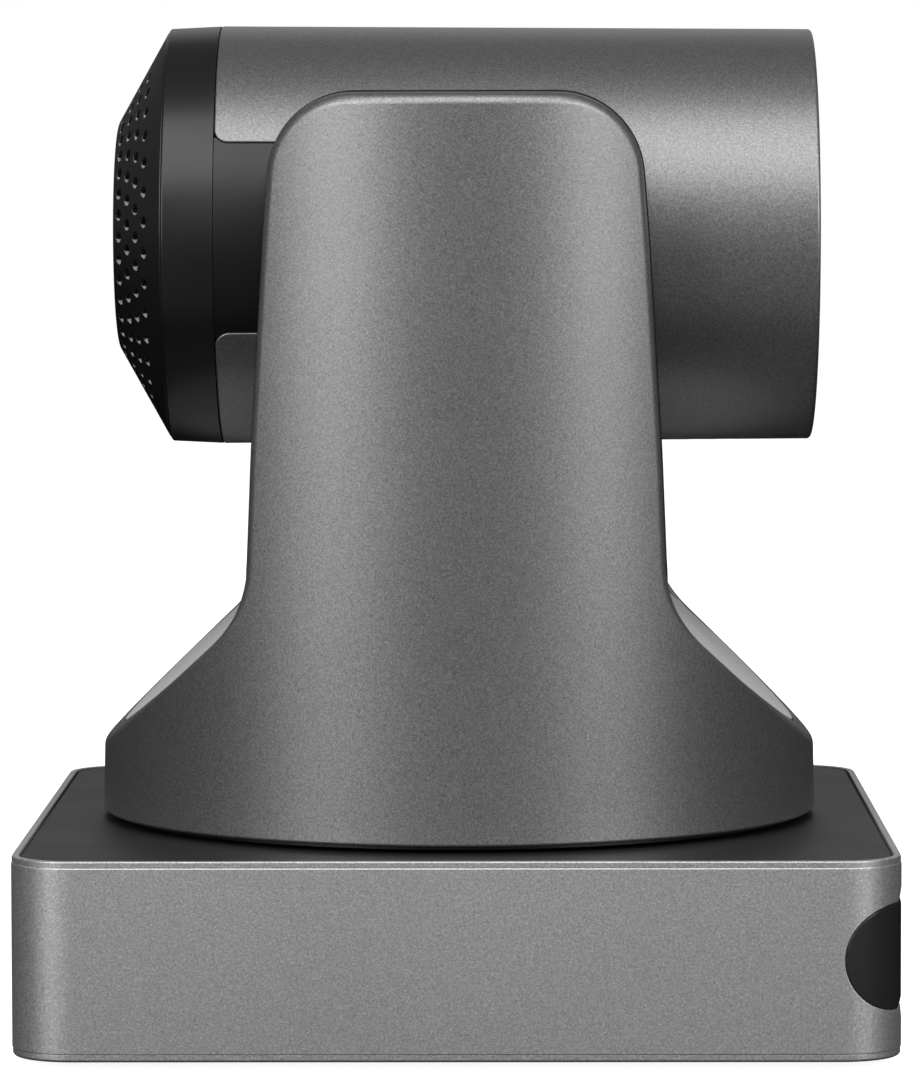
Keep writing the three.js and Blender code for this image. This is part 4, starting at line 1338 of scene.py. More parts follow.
def build_barrel():
    me = Mesh()
    s0, s1, half = -math.pi / 2 * ROUND, math.pi * 1.5 * ROUND, math.pi * ROUND
    S, X = NOTCH, 17.0
    segs = outline([(SHELL_REAR, s0), (SHELL_REAR, -S, CORNER), (X, -S, 2), (X, S, 2), (SHELL_REAR, S, CORNER),
                    (SHELL_REAR, half - S, CORNER), (X, half - S, 2), (X, half + S, 2), (SHELL_REAR, half + S, CORNER), (SHELL_REAR, s1)],
                   closed=False, step=1.8)
    edge = np.array([s[0] for s in segs] + [segs[-1][1]])
    en = np.array([s[2] for s in segs] + [segs[-1][3]])  # into the shell
    f, wall = 0.3, 2.2
    rows_p, rows_n = [], []
    for i in range(5):
        t = math.pi / 2 * i / 4
        q = edge + en * f * (1 - math.sin(t))
        rows_p.append([barrel_at(p, f * (1 - math.cos(t))) for p in q])
        rows_n.append([barrel_n(p) * math.cos(t) - barrel_t(p, m) * math.sin(t) for p, m in zip(q, en)])
    rows_p.append([barrel_at(p, wall) for p in edge])
    rows_n.append([-barrel_t(p, m) for p, m in zip(edge, en)])
    me.grid(rows_p, rows_n)
    e = 0.6
    n = 124
    xs = np.linspace(SHELL_REAR + f, BARREL_FRONT - e, 22)
    front = [(BARREL_FRONT - e, s0 + (s1 - s0) * i / n) for i in range(n + 1)]
    inner = edge + en * f
    loop = [tuple(p) for p in inner] + [(x, s1) for x in xs[1:-1]] + list(reversed(front)) + [(x, s0) for x in reversed(xs[1:-1])]
    cover(me, loop, [], barrel_at, barrel_n, (4.0, 1.8))
    # front rim
    prof = []
    for i in range(7):
        t = math.pi / 2 * i / 6
        prof.append((BARREL_FRONT - e + e * math.sin(t), e * (1 - math.cos(t)), (math.cos(t), math.sin(t))))
    r_rim = BARREL_R - (BARREL_FRONT - e - SHELL_REAR) * BARREL_DRAFT
    r_end = BARREL_R - (BARREL_FRONT - SHELL_REAR) * BARREL_DRAFT
    prof.append((BARREL_FRONT, r_rim - r_end + wall, (0, 1)))
    ss = [p[1] for p in front]
    me.grid([[BARREL.at(r_rim - d, x, s / ROUND) for s in ss] for x, d, _ in prof],
            [[BARREL.dir(k[0], k[1], s / ROUND) for s in ss] for _, _, k in prof])
    # match the drafted face exactly where the rim starts
    xs = np.linspace(SHELL_REAR, BARREL_FRONT, 14)
    loop = [tuple(p) for p in edge] + [(x, s1) for x in xs[1:-1]] + [(BARREL_FRONT, s) for s in reversed(ss)] + [(x, s0) for x in reversed(xs[1:-1])]
    cover(me, loop, [], lambda p: barrel_at(p, wall), lambda p: -barrel_n(p), (8.0, 4.0))
    return me


build_barrel().build("barrel_shell_skin", M["grey"], "camera_head", "grey_paint", "barrel_shell")

# black covers let into the sides
for sy, nodename in ((0, "left_side_cover"), (1, "right_side_cover")):
    me = Mesh()
    g = 0.17
    mid = sy * math.pi * ROUND
    S = NOTCH
    cx, cs, rho = SHELL_REAR + CORNER, S + CORNER, CORNER + g
    top = []
    a1 = math.asin(-(CORNER - 0.8) / rho)
    for i in range(9):
        t = math.radians(270) + ((math.pi - a1) - math.radians(270)) * i / 8
        top.append((cx + rho * math.cos(t), cs + rho * math.sin(t)))
    upper = []  # from the front edge back to the horn
    for i in range(7):
        t = math.pi / 2 * i / 6
        upper.append((17.0 - g - 1.83 + 1.83 * math.cos(t), S - g - 1.83 + 1.83 * math.sin(t)))
    xa, xb = upper[-1][0], top[0][0]
    upper += [(xa + (xb - xa) * i / 26, S - g) for i in range(1, 26)]
    upper += top
    upper.append((SHELL_REAR - 0.07, top[-1][1]))
    rear = [(SHELL_REAR - 0.07, s) for s in np.linspace(top[-1][1], -top[-1][1], 22)[1:-1]]
    lower = [(x, -s) for x, s in reversed(upper)]
    front = [(17.0 - g, s) for s in np.linspace(-(S - g - 1.83), S - g - 1.83, 18)[1:-1]]
    loop = np.array(upper + rear + lower + front) + np.array([0, mid])
    hole = []
    for i in range(56):
        t = 2 * math.pi * i / 56
        hole.append((8.75 * math.cos(t), mid + ROUND * math.asin(8.75 * math.sin(t) / 34.9)))
    hole = np.array(hole)
    put = lambda p, d: barrel_at(p, d + 0.05)
    face = lip(me, loop, 0.06, 1.9, put, barrel_n, barrel_t, hole=False, k=3)
    hf = lip(me, hole, 0.3, 1.9, put, barrel_n, barrel_t, hole=True, k=3)
    cover(me, face, [hf], lambda p: put(p, 0), barrel_n, (3.0, 1.8))
    cover(me, loop, [hole], lambda p: put(p, 1.9), lambda p: -barrel_n(p), (6.0, 4.0))
    me.build(nodename + "_skin", M["insert"], "camera_head", "black_satin", nodename)

# black rear ring
me = Mesh()
lathe(me, [(32.6, -48.3), (34.72, -48.3, 0.4), (35.12, -39.72, 0.08), (32.6, -39.72)], BARREL, 144)
me.build("rear_ring_skin", M["vent"], "camera_head", "black_satin", "rear_ring")


def build_vent():
    me = Mesh()
    n = 144
    ang = [2 * math.pi * i / n for i in range(n)]

    def rings(prof, wrap=True):
        me.grid([[BARREL.at(r, x, t) for t in ang] for r, x, _ in prof],
                [[BARREL.dir(k[0], k[1], t) for t in ang] for _, _, k in prof], wrap_v=True)

    # the cone's line
    ra, xa, rb, xb = 18.85, -57.12, 34.3, -48.44
    slope = (xb - xa) / (rb - ra)
    tilt = math.atan(slope)
    out_n = (math.sin(tilt), -math.cos(tilt))  # away from the cone, to the rear and outwards

    def cone_x(r):
        return xa + (r - ra) * slope

    # rounded edge between the disc and the cone
    R = 2.6
    t0 = R * math.tan(tilt / 2)
    disc_r = ra - t0
    cone_r = ra + t0 * math.cos(tilt)
    prof = []
    for i in range(7):
        a = tilt * i / 6
        prof.append((disc_r + R * math.sin(a), xa + R * (1 - math.cos(a)), (math.sin(a), -math.cos(a))))
    rings(prof)
    # disc with a shallow, slightly dished middle
    lip_r = 15.6
    prof = [(disc_r, xa, (0, -1)), (lip_r + 0.35, xa, (0, -1)), (lip_r + 0.1, xa + 0.08, (-0.7, -0.7)), (lip_r, xa + 0.3, (-0.25, -0.97)), (lip_r - 0.6, xa + 0.32, (0, -1)), (8.0, xa + 0.36, (0, -1))]
    rings(prof)
    P = [BARREL.at(8.0, xa + 0.36, t) for t in ang]
    c = BARREL.at(0, xa + 0.37, 0)
    for i in range(n):
        me.face([P[i], P[(i + 1) % n], c], [BARREL.dir(0, -1, 0)] * 3)
    # cone with its holes
    edge_r = rb - 0.35 * math.cos(tilt)
    outer = [(edge_r * math.cos(t), edge_r * math.sin(t)) for t in ang]
    inner = np.array([(cone_r * math.cos(t), cone_r * math.sin(t)) for t in ang])
    holes, tubes = [], []
    hr, ch, k = 0.92, 0.08, 16
    sq = math.cos(tilt)
    for ring, r in enumerate((20.75, 23.5, 26.25, 29.0)):
        for j in range(36):
            a = math.radians(10 * j + (5 if ring % 2 else 0))
            u = np.array([math.cos(a), math.sin(a)])
            v = np.array([-math.sin(a), math.cos(a)])
            loop = []
            tube = []
            for q in range(k):
                w = 2 * math.pi * q / k
                d2 = u * math.cos(w) * sq + v * math.sin(w)
                loop.append(u * r + d2 * (hr + ch))
                d3 = BARREL.dir(math.cos(tilt), math.sin(tilt), a) * math.cos(w) + (BARREL.v * math.cos(a) - BARREL.u * math.sin(a)) * math.sin(w)
                tube.append(d3)
            holes.append(np.array(loop))
            tubes.append((a, r, tube, loop))

    def at(p):
        r = math.hypot(p[0], p[1])
        return BARREL.at(r, cone_x(r), math.atan2(p[1], p[0]))

    def normal(p):
        return BARREL.dir(out_n[0], out_n[1], math.atan2(p[1], p[0]))

    # inner points lie on rings between the holes
    pts = []
    for r in (22.12, 24.87, 27.62, 30.6, 31.8, 33.0):
        pts += [(r * math.cos(t), r * math.sin(t)) for t in [2 * math.pi * (i + 0.5) / 108 for i in range(108)]]
    loops = [np.array(outer), inner] + holes
    flat, edges, base = [], [], 0
    for l in loops:
        flat += [tuple(p) for p in l]
        edges += [(base + i, base + (i + 1) % len(l)) for i in range(len(l))]
        base += len(l)
    flat += pts
    res = delaunay_2d_cdt([Vector(p) for p in flat], edges, [], 0, 1e-7)
    v2 = np.array([(p.x, p.y) for p in res[0]])
    tris = np.array([list(f) for f in res[2]])
    mid = v2[tris].mean(1)
    rr = np.hypot(mid[:, 0], mid[:, 1])
    ok = (rr > cone_r * math.cos(math.pi / n) - 1e-6) & (rr < edge_r)
    ok &= inside(outer, mid) & ~inside(inner, mid)
    for h in holes:
        near = np.hypot(*(mid - h.mean(0)).T) < 1.2
        if near.any():
            idx = np.where(near)[0]
            ok[idx] &= ~inside(h, mid[idx])
    P = [at(p) for p in v2]
    N = [normal(p) for p in v2]
    for t in tris[ok]:
        me.face([P[i] for i in t], [N[i] for i in t])
    for a, r, tube, loop in tubes:
        c0 = BARREL.at(r, cone_x(r), a)
        nn = BARREL.dir(out_n[0], out_n[1], a)
        top = [at(p) for p in loop]
        rim = [c0 + d * hr - nn * ch for d in tube]
        low = [c0 + d * hr - nn * 1.1 for d in tube]
        for q in range(len(tube)):
            w = (q + 1) % len(tube)
            me.face([top[q], top[w], rim[w], rim[q]], [unit(nn - tube[q]), unit(nn - tube[w]), unit(nn * 0.3 - tube[w]), unit(nn * 0.3 - tube[q])])
            me.mat = 2 if (-tube[q] - tube[w])[2] > 0.75 else 0  # the upward-facing lower wall of each hole takes the pale grey: a painted highlight fixed to the part, standing in for top light caught there
            me.face([rim[q], rim[w], low[w], low[q]], [-tube[q], -tube[w], -tube[w], -tube[q]])
            me.mat = 1
            me.face([low[q], low[w], c0 - nn * 1.1], [nn, nn, nn])
            me.mat = 0
    # outer rim, the fit into the ring, and the inside
    prof = []
    for i in range(5):
        b = math.pi / 2 * i / 4
        d = (out_n[0] * math.cos(b) + math.cos(tilt) * math.sin(b), out_n[1] * math.cos(b) + math.sin(tilt) * math.sin(b))
        c = (edge_r - out_n[0] * 0.3, cone_x(edge_r) - out_n[1] * 0.3)
        prof.append((c[0] + d[0] * 0.3, c[1] + d[1] * 0.3, unit(d)))
    last = prof[-1]
    rings(prof)
    rings([(last[0], last[1], (0, 1)), (32.1, last[1] + 0.1, (0, 1))])
    rings([(32.1, last[1] + 0.1, (1, 0)), (32.1, -46.5, (1, 0))])
    rings([(32.1, -46.5, (0, 1)), (30.6, -46.5, (0, 1))])
    rings([(30.6, -46.5, (-1, 0)), (30.6, cone_x(30.6) + 2.3, (-1, 0))])
    rings([(30.6, cone_x(30.6) + 2.3, (-out_n[0], -out_n[1])), (18.2, cone_x(18.2) + 2.3, (-out_n[0], -out_n[1]))])
    P = [BARREL.at(18.2, cone_x(18.2) + 2.3, t) for t in ang]
    c = BARREL.at(0, cone_x(18.2) + 2.3, 0)
    for i in range(n):
        me.face([P[i], P[(i + 1) % n], c], [BARREL.dir(0, 1, 0)] * 3)
    return me.build("rear_vent_cap_skin", [M["vent"], M["deep"], M["hole"]], "camera_head", "black_vent", "rear_vent_cap")


build_vent()

# stepped light baffle round the lens
me = Mesh()
prof = [(32.1, 55.2), (32.1, 58.35, 0.25), (31.15, 58.35, 0.25)]
r, x = 31.15, 57.6
steps = 9
for i in range(steps):
    prof.append((r, x, 0.06))
    r2 = 31.15 + (21.3 - 31.15) * (i + 1) / steps
    prof.append((r2 + 0.35, x - 0.12, 0.12))
    r, x = r2 + 0.35, 57.6 + (47.0 - 57.6) * (i + 1) / steps
prof += [(21.3, 46.9, 0.1), (21.3, 38.0), (22.6, 38.0), (22.6, 46.2), (30.5, 55.2)]
lathe(me, prof, BARREL, 128)
me.build("front_bezel_skin", M["baffle"], "camera_head", "black_satin", "front_bezel")

# lens housing: ribbed grip ring behind a rounded nose
me = Mesh()
prof = [(17.35, -20.0), (19.8, -20.0, 0.3), (19.8, 36.0, 0.1)]
for i in range(6):
    prof += [(19.8, 37.0 + i * 1.0, 0.05), (19.45, 37.2 + i * 1.0, 0.05), (19.45, 37.5 + i * 1.0, 0.05), (19.8, 37.7 + i * 1.0, 0.05)]
prof += [(19.8, 45.5, 0.5), (18.4, 45.5, 0.2), (18.1, 45.1, 0.1), (17.35, 45.1, 0.1)]
lathe(me, prof, BARREL, 112)
me.build("lens_housing_skin", M["black"], "camera_head", "black_satin", "lens_housing")

# front element, its retaining ring and the baffle behind it
def dome(r_edge, x_edge, x_apex, n):
    sag = x_apex - x_edge
    rad = (r_edge ** 2 + sag ** 2) / (2 * abs(sag))
    cx = x_apex - math.copysign(rad, sag)
    out = []
    for i in range(n + 1):
        r = r_edge * (1 - i / n)
        out.append((r, cx + math.copysign(math.sqrt(rad * rad - r * r), sag)))
    return out, rad, cx


def element(me, r, xf_edge, xf_apex, xb_edge, xb_apex, n=96):
    ang = [2 * math.pi * i / n for i in range(n)]
    for (pts, rad, cx), sg in ((dome(r, xf_edge, xf_apex, 14), 1), (dome(r, xb_edge, xb_apex, 14), -1)):
        P = [[BARREL.at(q[0], q[1], t) for t in ang] for q in pts]
        N = []
        for q in pts:
            d = unit((q[0], q[1] - cx))
            d = d if d[1] * sg > 0 else -d
            N.append([BARREL.dir(d[0], d[1], t) for t in ang])
        me.grid(P, N, wrap_v=True)
    me.grid([[BARREL.at(r, xf_edge, t) for t in ang], [BARREL.at(r, xb_edge, t) for t in ang]],
            [[BARREL.dir(1, 0, t) for t in ang]] * 2, wrap_v=True)


mg, nt, b = new_material("front_glass")
b.inputs["Base Color"].default_value = (0.93, 0.95, 1.0, 1)
b.inputs["Roughness"].default_value = 0.0
b.inputs["IOR"].default_value = 1.52
b.inputs["Transmission Weight"].default_value = 1.0
b.inputs["Coat Weight"].default_value = 0.4
b.inputs["Coat Roughness"].default_value = 0.01
b.inputs["Coat Tint"].default_value = (0.72, 0.78, 1.0, 1)
tc = node(nt, "ShaderNodeTexCoord")
gn = node(nt, "ShaderNodeTexNoise", in_Scale=60.0, in_Detail=2.0)
nt.links.new(tc.outputs["Object"], gn.inputs["Vector"])
gr = node(nt, "ShaderNodeMapRange")
gr.inputs["To Min"].default_value = 0.0
gr.inputs["To Max"].default_value = 0.03
nt.links.new(gn.outputs["Fac"], gr.inputs["Value"])
nt.links.new(gr.outputs["Result"], b.inputs["Roughness"])
M["clear"] = mg

me = Mesh()
element(me, 16.95, 41.9, 44.1, 40.2, 41.6)
me.build("front_lens_skin", M["clear"], "camera_head", "lens_glass", "front_lens")
me = Mesh()
lathe(me, [(15.7, 43.35, 0.1), (15.9, 44.55, 0.25), (17.2, 44.75, 0.2), (17.2, 42.2), (16.9, 42.2)], BARREL, 112)
me.build("lens_retaining_ring", M["black"], "camera_head", "black_satin")
me = Mesh()
prof = [(17.15, 35.9), (17.15, 39.9, 0.1), (16.2, 39.9, 0.2)]
for i in range(4):
    r = 16.2 - i * 0.95
    prof += [(r, 39.3 - i * 0.8, 0.08), (r - 0.95, 39.2 - i * 0.8, 0.08)]
prof += [(12.4, 35.9)]
lathe(me, prof, BARREL, 96)
me.build("lens_baffle", M["baffle"], "camera_head", "black_satin")

# ------------------------------------------------------------------ rear sockets
REAR = Plane((0, 0, WINDOW_Z), (0, -1, 0), (0, 0, 1))  # its height runs to the rear: x = -height


def rear_axis(y, z=WINDOW_Z):
    return Axes((0, y, z), (-1, 0, 0), (0, 1, 0))


# positions along Y: dc, serial out, serial in, audio, usb, lan, hdmi, sdi
DC_Y, OUT_Y, IN_Y, AUDIO_Y, USB_Y, LAN_Y, HDMI_Y, SDI_Y = 50.0, 36.5, 20.5, 8.0, -4.2, -19.0, -35.5, -49.5


def place(pts, y, z=WINDOW_Z):
    """Moves a flat outline to a socket at (y, z) on the rear plane."""
    return np.asarray(pts) + np.array([-y, z - WINDOW_Z])


def build_tray():
    me = Mesh()
    op, on = round_rect(IO_HALF - 0.1, 11.1, 2.45, 8, step=5.0)
    ip, inn = round_rect(IO_HALF - 1.5, 9.75, 1.4, 6, step=4.0)
    back, floor_h, top = 57.6, 59.0, 70.75

    def ring(rows, P, N, sign):
        me.grid([[REAR.at(p - n * d * sign, h) for p, n in zip(P, N)] for d, h, _ in rows],
                [[REAR.dir(n * w[0] * sign, w[1]) for n in N] for _, _, w in rows], wrap_v=True)

    k = 4
    rows = [(0.0, back, (1, 0))] + [(0.3 * (1 - math.cos(t)), top - 0.3 * (1 - math.sin(t)), (math.cos(t), math.sin(t))) for t in np.linspace(0, math.pi / 2, k + 1)]
    ring(rows, op, on, 1)
    rows = [(0.3 * (1 - math.cos(t)), top - 0.3 * (1 - math.sin(t)), (math.cos(t), math.sin(t))) for t in np.linspace(math.pi / 2, 0, k + 1)]
    rows += [(0.0, floor_h + 0.5, (1, 0))] + [(-0.5 * (1 - math.cos(t)), floor_h + 0.5 * (1 - math.sin(t)), (math.cos(t), math.sin(t))) for t in np.linspace(0, math.pi / 2, 4)][1:]
    ring(rows, ip, inn, -1)
    cover(me, op - on * 0.3, [ip + inn * 0.3], lambda p: REAR.at(p, top), lambda p: REAR.n)
    holes = [circle(5.35, 48, -DC_Y), circle(7.35, 56, -OUT_Y), circle(7.35, 56, -IN_Y), circle(4.35, 40, -AUDIO_Y),
             round_rect(6.15, 5.65, 0.6, 4, -USB_Y, 0.0), round_rect(8.15, 6.95, 0.6, 4, -LAN_Y, 0.0),
             round_rect(7.85, 3.25, 0.5, 4, -HDMI_Y, 0.0), circle(5.75, 48, -SDI_Y)]
    for P, N in holes:
        rows = [(0.15 * (1 - math.cos(t)), floor_h - 0.15 * (1 - math.sin(t)), (math.cos(t), math.sin(t))) for t in np.linspace(math.pi / 2, 0, 3)]
        rows += [(0.0, back, (1, 0))]
        me.grid([[REAR.at(p + n * d, h) for p, n in zip(P, N)] for d, h, _ in rows],
                [[REAR.dir(-n * w[0], w[1]) for n in N] for _, _, w in rows], wrap_v=True)
    cover(me, ip - inn * 0.5, [P + N * 0.15 for P, N in holes], lambda p: REAR.at(p, floor_h), lambda p: REAR.n, 3.0)
    cover(me, op, [P for P, N in holes], lambda p: REAR.at(p, back), lambda p: -REAR.n, 6.0)
    me.build("rear_io_panel_skin", M["panel"], "base", "black_satin", "rear_io_panel")


build_tray()


def turned(name, y, prof, mat, n=64, slot_name="black_satin", replaces=()):
    me = Mesh()
    lathe(me, prof, rear_axis(y), n)
    return me.build(name, M[mat], "base", slot_name, replaces)


def pin(me, a, b, r, h0, h1, n=12):
    ax = Axes(REAR.at((a, b), 0), (-1, 0, 0), (0, 1, 0))
    lathe(me, [(0, h0), (r, h0), (r, h1, r * 0.6), (0, h1)], ax, n)


# DC inlet
turned("dc_jack_skin", DC_Y, [(3.05, 59.9, 0.35), (3.05, 50.5), (0, 50.5), (0, 49.2), (4.9, 49.2), (4.9, 58.0, 0.2), (5.2, 58.2, 0.1), (5.2, 59.9, 0.3)], "black", 64, "black_satin", "dc_jack")
me = Mesh()
pin(me, -DC_Y, 0, 1.0, 50.6, 59.0, 24)
me.build("dc_pin", M["nickel"], "base", "steel")
me = Mesh()
block(me, -0.9, 0.9, -2.98, -2.62, 51.0, 58.4, 0.1, 0.1)
for i, c in enumerate(me.co):
    me.co[i] = tuple(REAR.at((c[0] - DC_Y, c[1]), c[2]))
me.normals = [[tuple(REAR.dir((n[0], n[1]), n[2])) for n in nn] for nn in me.normals]
me.build("dc_spring", M["nickel"], "base", "steel")

# two round eight-pole serial sockets
for y, nm in ((OUT_Y, "rs232_out_port"), (IN_Y, "rs232_in_port")):
    me = Mesh()
    p, n = circle(7.2, 64, -y)
    q, m = circle(5.1, 64, -y)
    slab(me, p, n, 49.2, 59.7, 0.0, 0.35, REAR, [(q, m, 0.3)])
    me.build(nm + "_skin", M["black"], "base", "black_satin", nm)
    me = Mesh()
    p, n = circle(5.05, 64, -y)
    q, m = circle(4.7, 64, -y)
    slab(me, p, n, 50.0, 59.3, 0.0, 0.1, REAR, [(q, m, 0.1)])
    me.build(nm + "_shield", M["nickel"], "base", "steel")
    me = Mesh()
    p, n = circle(4.6, 56, -y)
    holes = []
    for row, xs in ((2.1, (-1.6, 0.0, 1.6)), (0.0, (-2.9, -1.0, 1.0, 2.9)), (-2.0, (0.0,))):
        for x in xs:
            holes.append((*circle(0.48, 12, -y + x, row), 0.08))
    kp, kn = round_rect(0.95, 0.55, 0.12, 2, -y, -3.45)
    holes.append((kp, kn, 0.08))
    slab(me, p, n, 50.2, 57.6, 0.0, 0.15, REAR, holes)
    me.build(nm + "_core", M["baffle"], "base", "black_satin")

# audio jack with a plated nut
turned("audio_jack_skin", AUDIO_Y, [(2.35, 59.55, 0.15), (2.35, 49.2), (4.15, 49.2), (4.15, 59.55, 0.3)], "black", 56, "black_satin", "audio_jack")
turned("audio_jack_ring", AUDIO_Y, [(1.8, 60.2, 0.3), (1.8, 51.0), (2.3, 51.0), (2.3, 59.7), (3.1, 59.7), (3.1, 60.2, 0.2)], "nickel", 56, "steel")
turned("audio_jack_bottom", AUDIO_Y, [(0, 50.2), (2.25, 50.2), (2.25, 50.9), (0, 50.9)], "baffle", 32)

# USB socket standing on its short side
me = Mesh()
p, n = round_rect(6.0, 5.5, 0.5, 4, -USB_Y)
q, m = round_rect(4.3, 3.9, 0.35, 4, -USB_Y)
slab(me, p, n, 49.2, 59.7, 0.0, 0.25, REAR, [(q, m, 0.15)])
me.build("usb_port_skin", M["nickel"], "base", "steel", "usb_port")
me = Mesh()
p, n = round_rect(4.25, 3.85, 0.3, 3, -USB_Y)
slab(me, p, n, 49.4, 50.4, 0.0, 0.05, REAR)
me.build("usb_back", M["baffle"], "base", "black_satin")
me = Mesh()
p, n = round_rect(2.75, 1.55, 0.25, 3, -USB_Y)
slab(me, p, n, 50.5, 59.0, 0.0, 0.2, REAR)
me.build("usb_tongue", M["baffle"], "base", "black_satin")
me = Mesh()
for i in range(4):
    for sgn in (-1, 1):
        p, n = round_rect(0.3, 0.05, 0.04, 2, -USB_Y - 2.0 + i * 1.33, sgn * 1.62)
        slab(me, p, n, 51.0, 58.5, 0.0, 0.03, REAR, k=1)
me.build("usb_contacts", M["gold"], "base", "brass")

# LAN socket: plated can, black throat, latch step, eight contacts and two light windows
me = Mesh()
p, n = round_rect(8.0, 6.8, 0.5, 4, -LAN_Y)
lanout = [(-5.9, -4.9), (5.9, -4.9), (5.9, 3.1), (3.1, 3.1), (3.1, 5.0), (-3.1, 5.0), (-3.1, 3.1), (-5.9, 3.1)]
segs = outline([(x - LAN_Y, z, 0.3) for x, z in lanout], True, 3.0)
q = np.array([s[0] for s in segs])
m = loop_normals(q)
led = []
for sx in (-1, 1):
    led.append((*round_rect(1.35, 0.75, 0.2, 3, -LAN_Y + sx * 5.0, 5.05), 0.05))
slab(me, p, n, 49.2, 59.8, 0.0, 0.25, REAR, [(q, m, 0.15)] + led)
me.build("lan_port_skin", M["nickel"], "base", "steel", "lan_port")
for sx, mat in ((-1, "green_led"), (1, "amber_led")):
    me = Mesh()
    lp_, ln_ = round_rect(1.28, 0.68, 0.18, 3, -LAN_Y + sx * 5.0, 5.05)
    slab(me, lp_, ln_, 50.0, 59.75, 0.0, 0.15, REAR)
    me.build("lan_lamp_" + ("a" if sx < 0 else "b"), M[mat], "base", "lens_glass")
me = Mesh()
qi = inset_loop(q, 0.04)
slab(me, qi, loop_normals(qi), 49.4, 50.6, 0.0, 0.05, REAR)
p, n = round_rect(5.3, 0.5, 0.1, 2, -LAN_Y, -4.3)
slab(me, p, n, 50.7, 57.5, 0.0, 0.1, REAR)
me.build("lan_throat", M["baffle"], "base", "black_satin")
me = Mesh()
for i in range(8):
    a = -LAN_Y - 3.57 + 1.02 * i
    # each contact slopes down into the socket
    A = [(a - 0.16, -3.72), (a + 0.16, -3.72), (a + 0.16, -3.60), (a - 0.16, -3.60)]
    B = [(a - 0.16, -1.15), (a + 0.16, -1.15), (a + 0.16, -1.03), (a - 0.16, -1.03)]
    P0 = [REAR.at(c, 57.6) for c in A]
    P1 = [REAR.at(c, 51.0) for c in B]
    mid = (sum(P0) + sum(P1)) / 8
    for quad in ([P0[0], P0[1], P0[2], P0[3]], [P1[0], P1[1], P1[2], P1[3]], [P0[0], P0[1], P1[1], P1[0]],
                 [P0[1], P0[2], P1[2], P1[1]], [P0[2], P0[3], P1[3], P1[2]], [P0[3], P0[0], P1[0], P1[3]]):
        g = unit(np.cross(quad[1] - quad[0], quad[2] - quad[0]))
        if float(g @ (sum(quad) / 4 - mid)) < 0:
            g = -g
        me.face(quad, [g] * 4)
me.build("lan_contacts", M["gold"], "base", "brass")

# HDMI socket
hd = [(-6.95, 2.25), (6.95, 2.25), (6.95, -0.9), (5.9, -2.3), (-5.9, -2.3), (-6.95, -0.9)]
ho = [(-7.55, 2.85), (7.55, 2.85), (7.55, -1.2), (6.2, -2.9), (-6.2, -2.9), (-7.55, -1.2)]
me = Mesh()
so = outline([(x - HDMI_Y, z, 0.5) for x, z in reversed(ho)], True, 3.0)
si = outline([(x - HDMI_Y, z, 0.3) for x, z in reversed(hd)], True, 3.0)
po, pi_ = np.array([s[0] for s in so]), np.array([s[0] for s in si])
if area([tuple(p) for p in po]) < 0:
    po = po[::-1]
if area([tuple(p) for p in pi_]) < 0:
    pi_ = pi_[::-1]
slab(me, po, loop_normals(po), 49.2, 59.7, 0.0, 0.15, REAR, [(pi_, loop_normals(pi_), 0.12)])
me.build("hdmi_port_skin", M["nickel"], "base", "steel", "hdmi_port")
me = Mesh()
pj = inset_loop(pi_, 0.04)
slab(me, pj, loop_normals(pj), 49.4, 50.4, 0.0, 0.05, REAR)
p, n = round_rect(5.3, 0.45, 0.1, 2, -HDMI_Y, 0.3)
slab(me, p, n, 50.5, 58.6, 0.0, 0.1, REAR)
me.build("hdmi_tongue", M["baffle"], "base", "black_satin")
me = Mesh()
for i in range(10):
    p, n = round_rect(0.16, 0.04, 0.03, 2, -HDMI_Y - 4.5 + i, -0.2)
    slab(me, p, n, 51.0, 58.0, 0.0, 0.02, REAR, k=1)
me.build("hdmi_contacts", M["gold"], "base", "brass")

# SDI connector: barrel with two bayonet studs, bore and centre pin
me = Mesh()
lathe(me, [(3.6, 70.55, 0.25), (3.6, 52.0), (0, 52.0), (0, 49.2), (5.6, 49.2), (5.6, 60.2, 0.3), (4.75, 60.5, 0.2), (4.75, 61.2, 0.1), (4.55, 61.4, 0.1), (4.55, 62.0, 0.1), (4.8, 62.2, 0.1), (4.8, 70.55, 0.4)], rear_axis(SDI_Y), 72)
for sgn in (-1, 1):
    ax = Axes(REAR.at((-SDI_Y, 0), 67.0), (0, 0, sgn), (1, 0, 0))
    lathe(me, [(0, 4.6), (1.05, 4.6), (1.05, 6.0, 0.3), (0, 6.0)], ax, 24)
me.build("sdi_connector_skin", M["nickel"], "base", "steel", "sdi_connector")
turned("sdi_insulator", SDI_Y, [(1.0, 66.0, 0.2), (1.0, 52.2), (3.5, 52.2), (3.5, 60.0, 0.2), (2.3, 60.2, 0.1), (2.3, 66.0, 0.3)], "nylon", 40, "nylon")
me = Mesh()
pin(me, -SDI_Y, 0, 0.68, 52.3, 68.0, 20)
me.build("sdi_pin", M["gold"], "base", "brass")

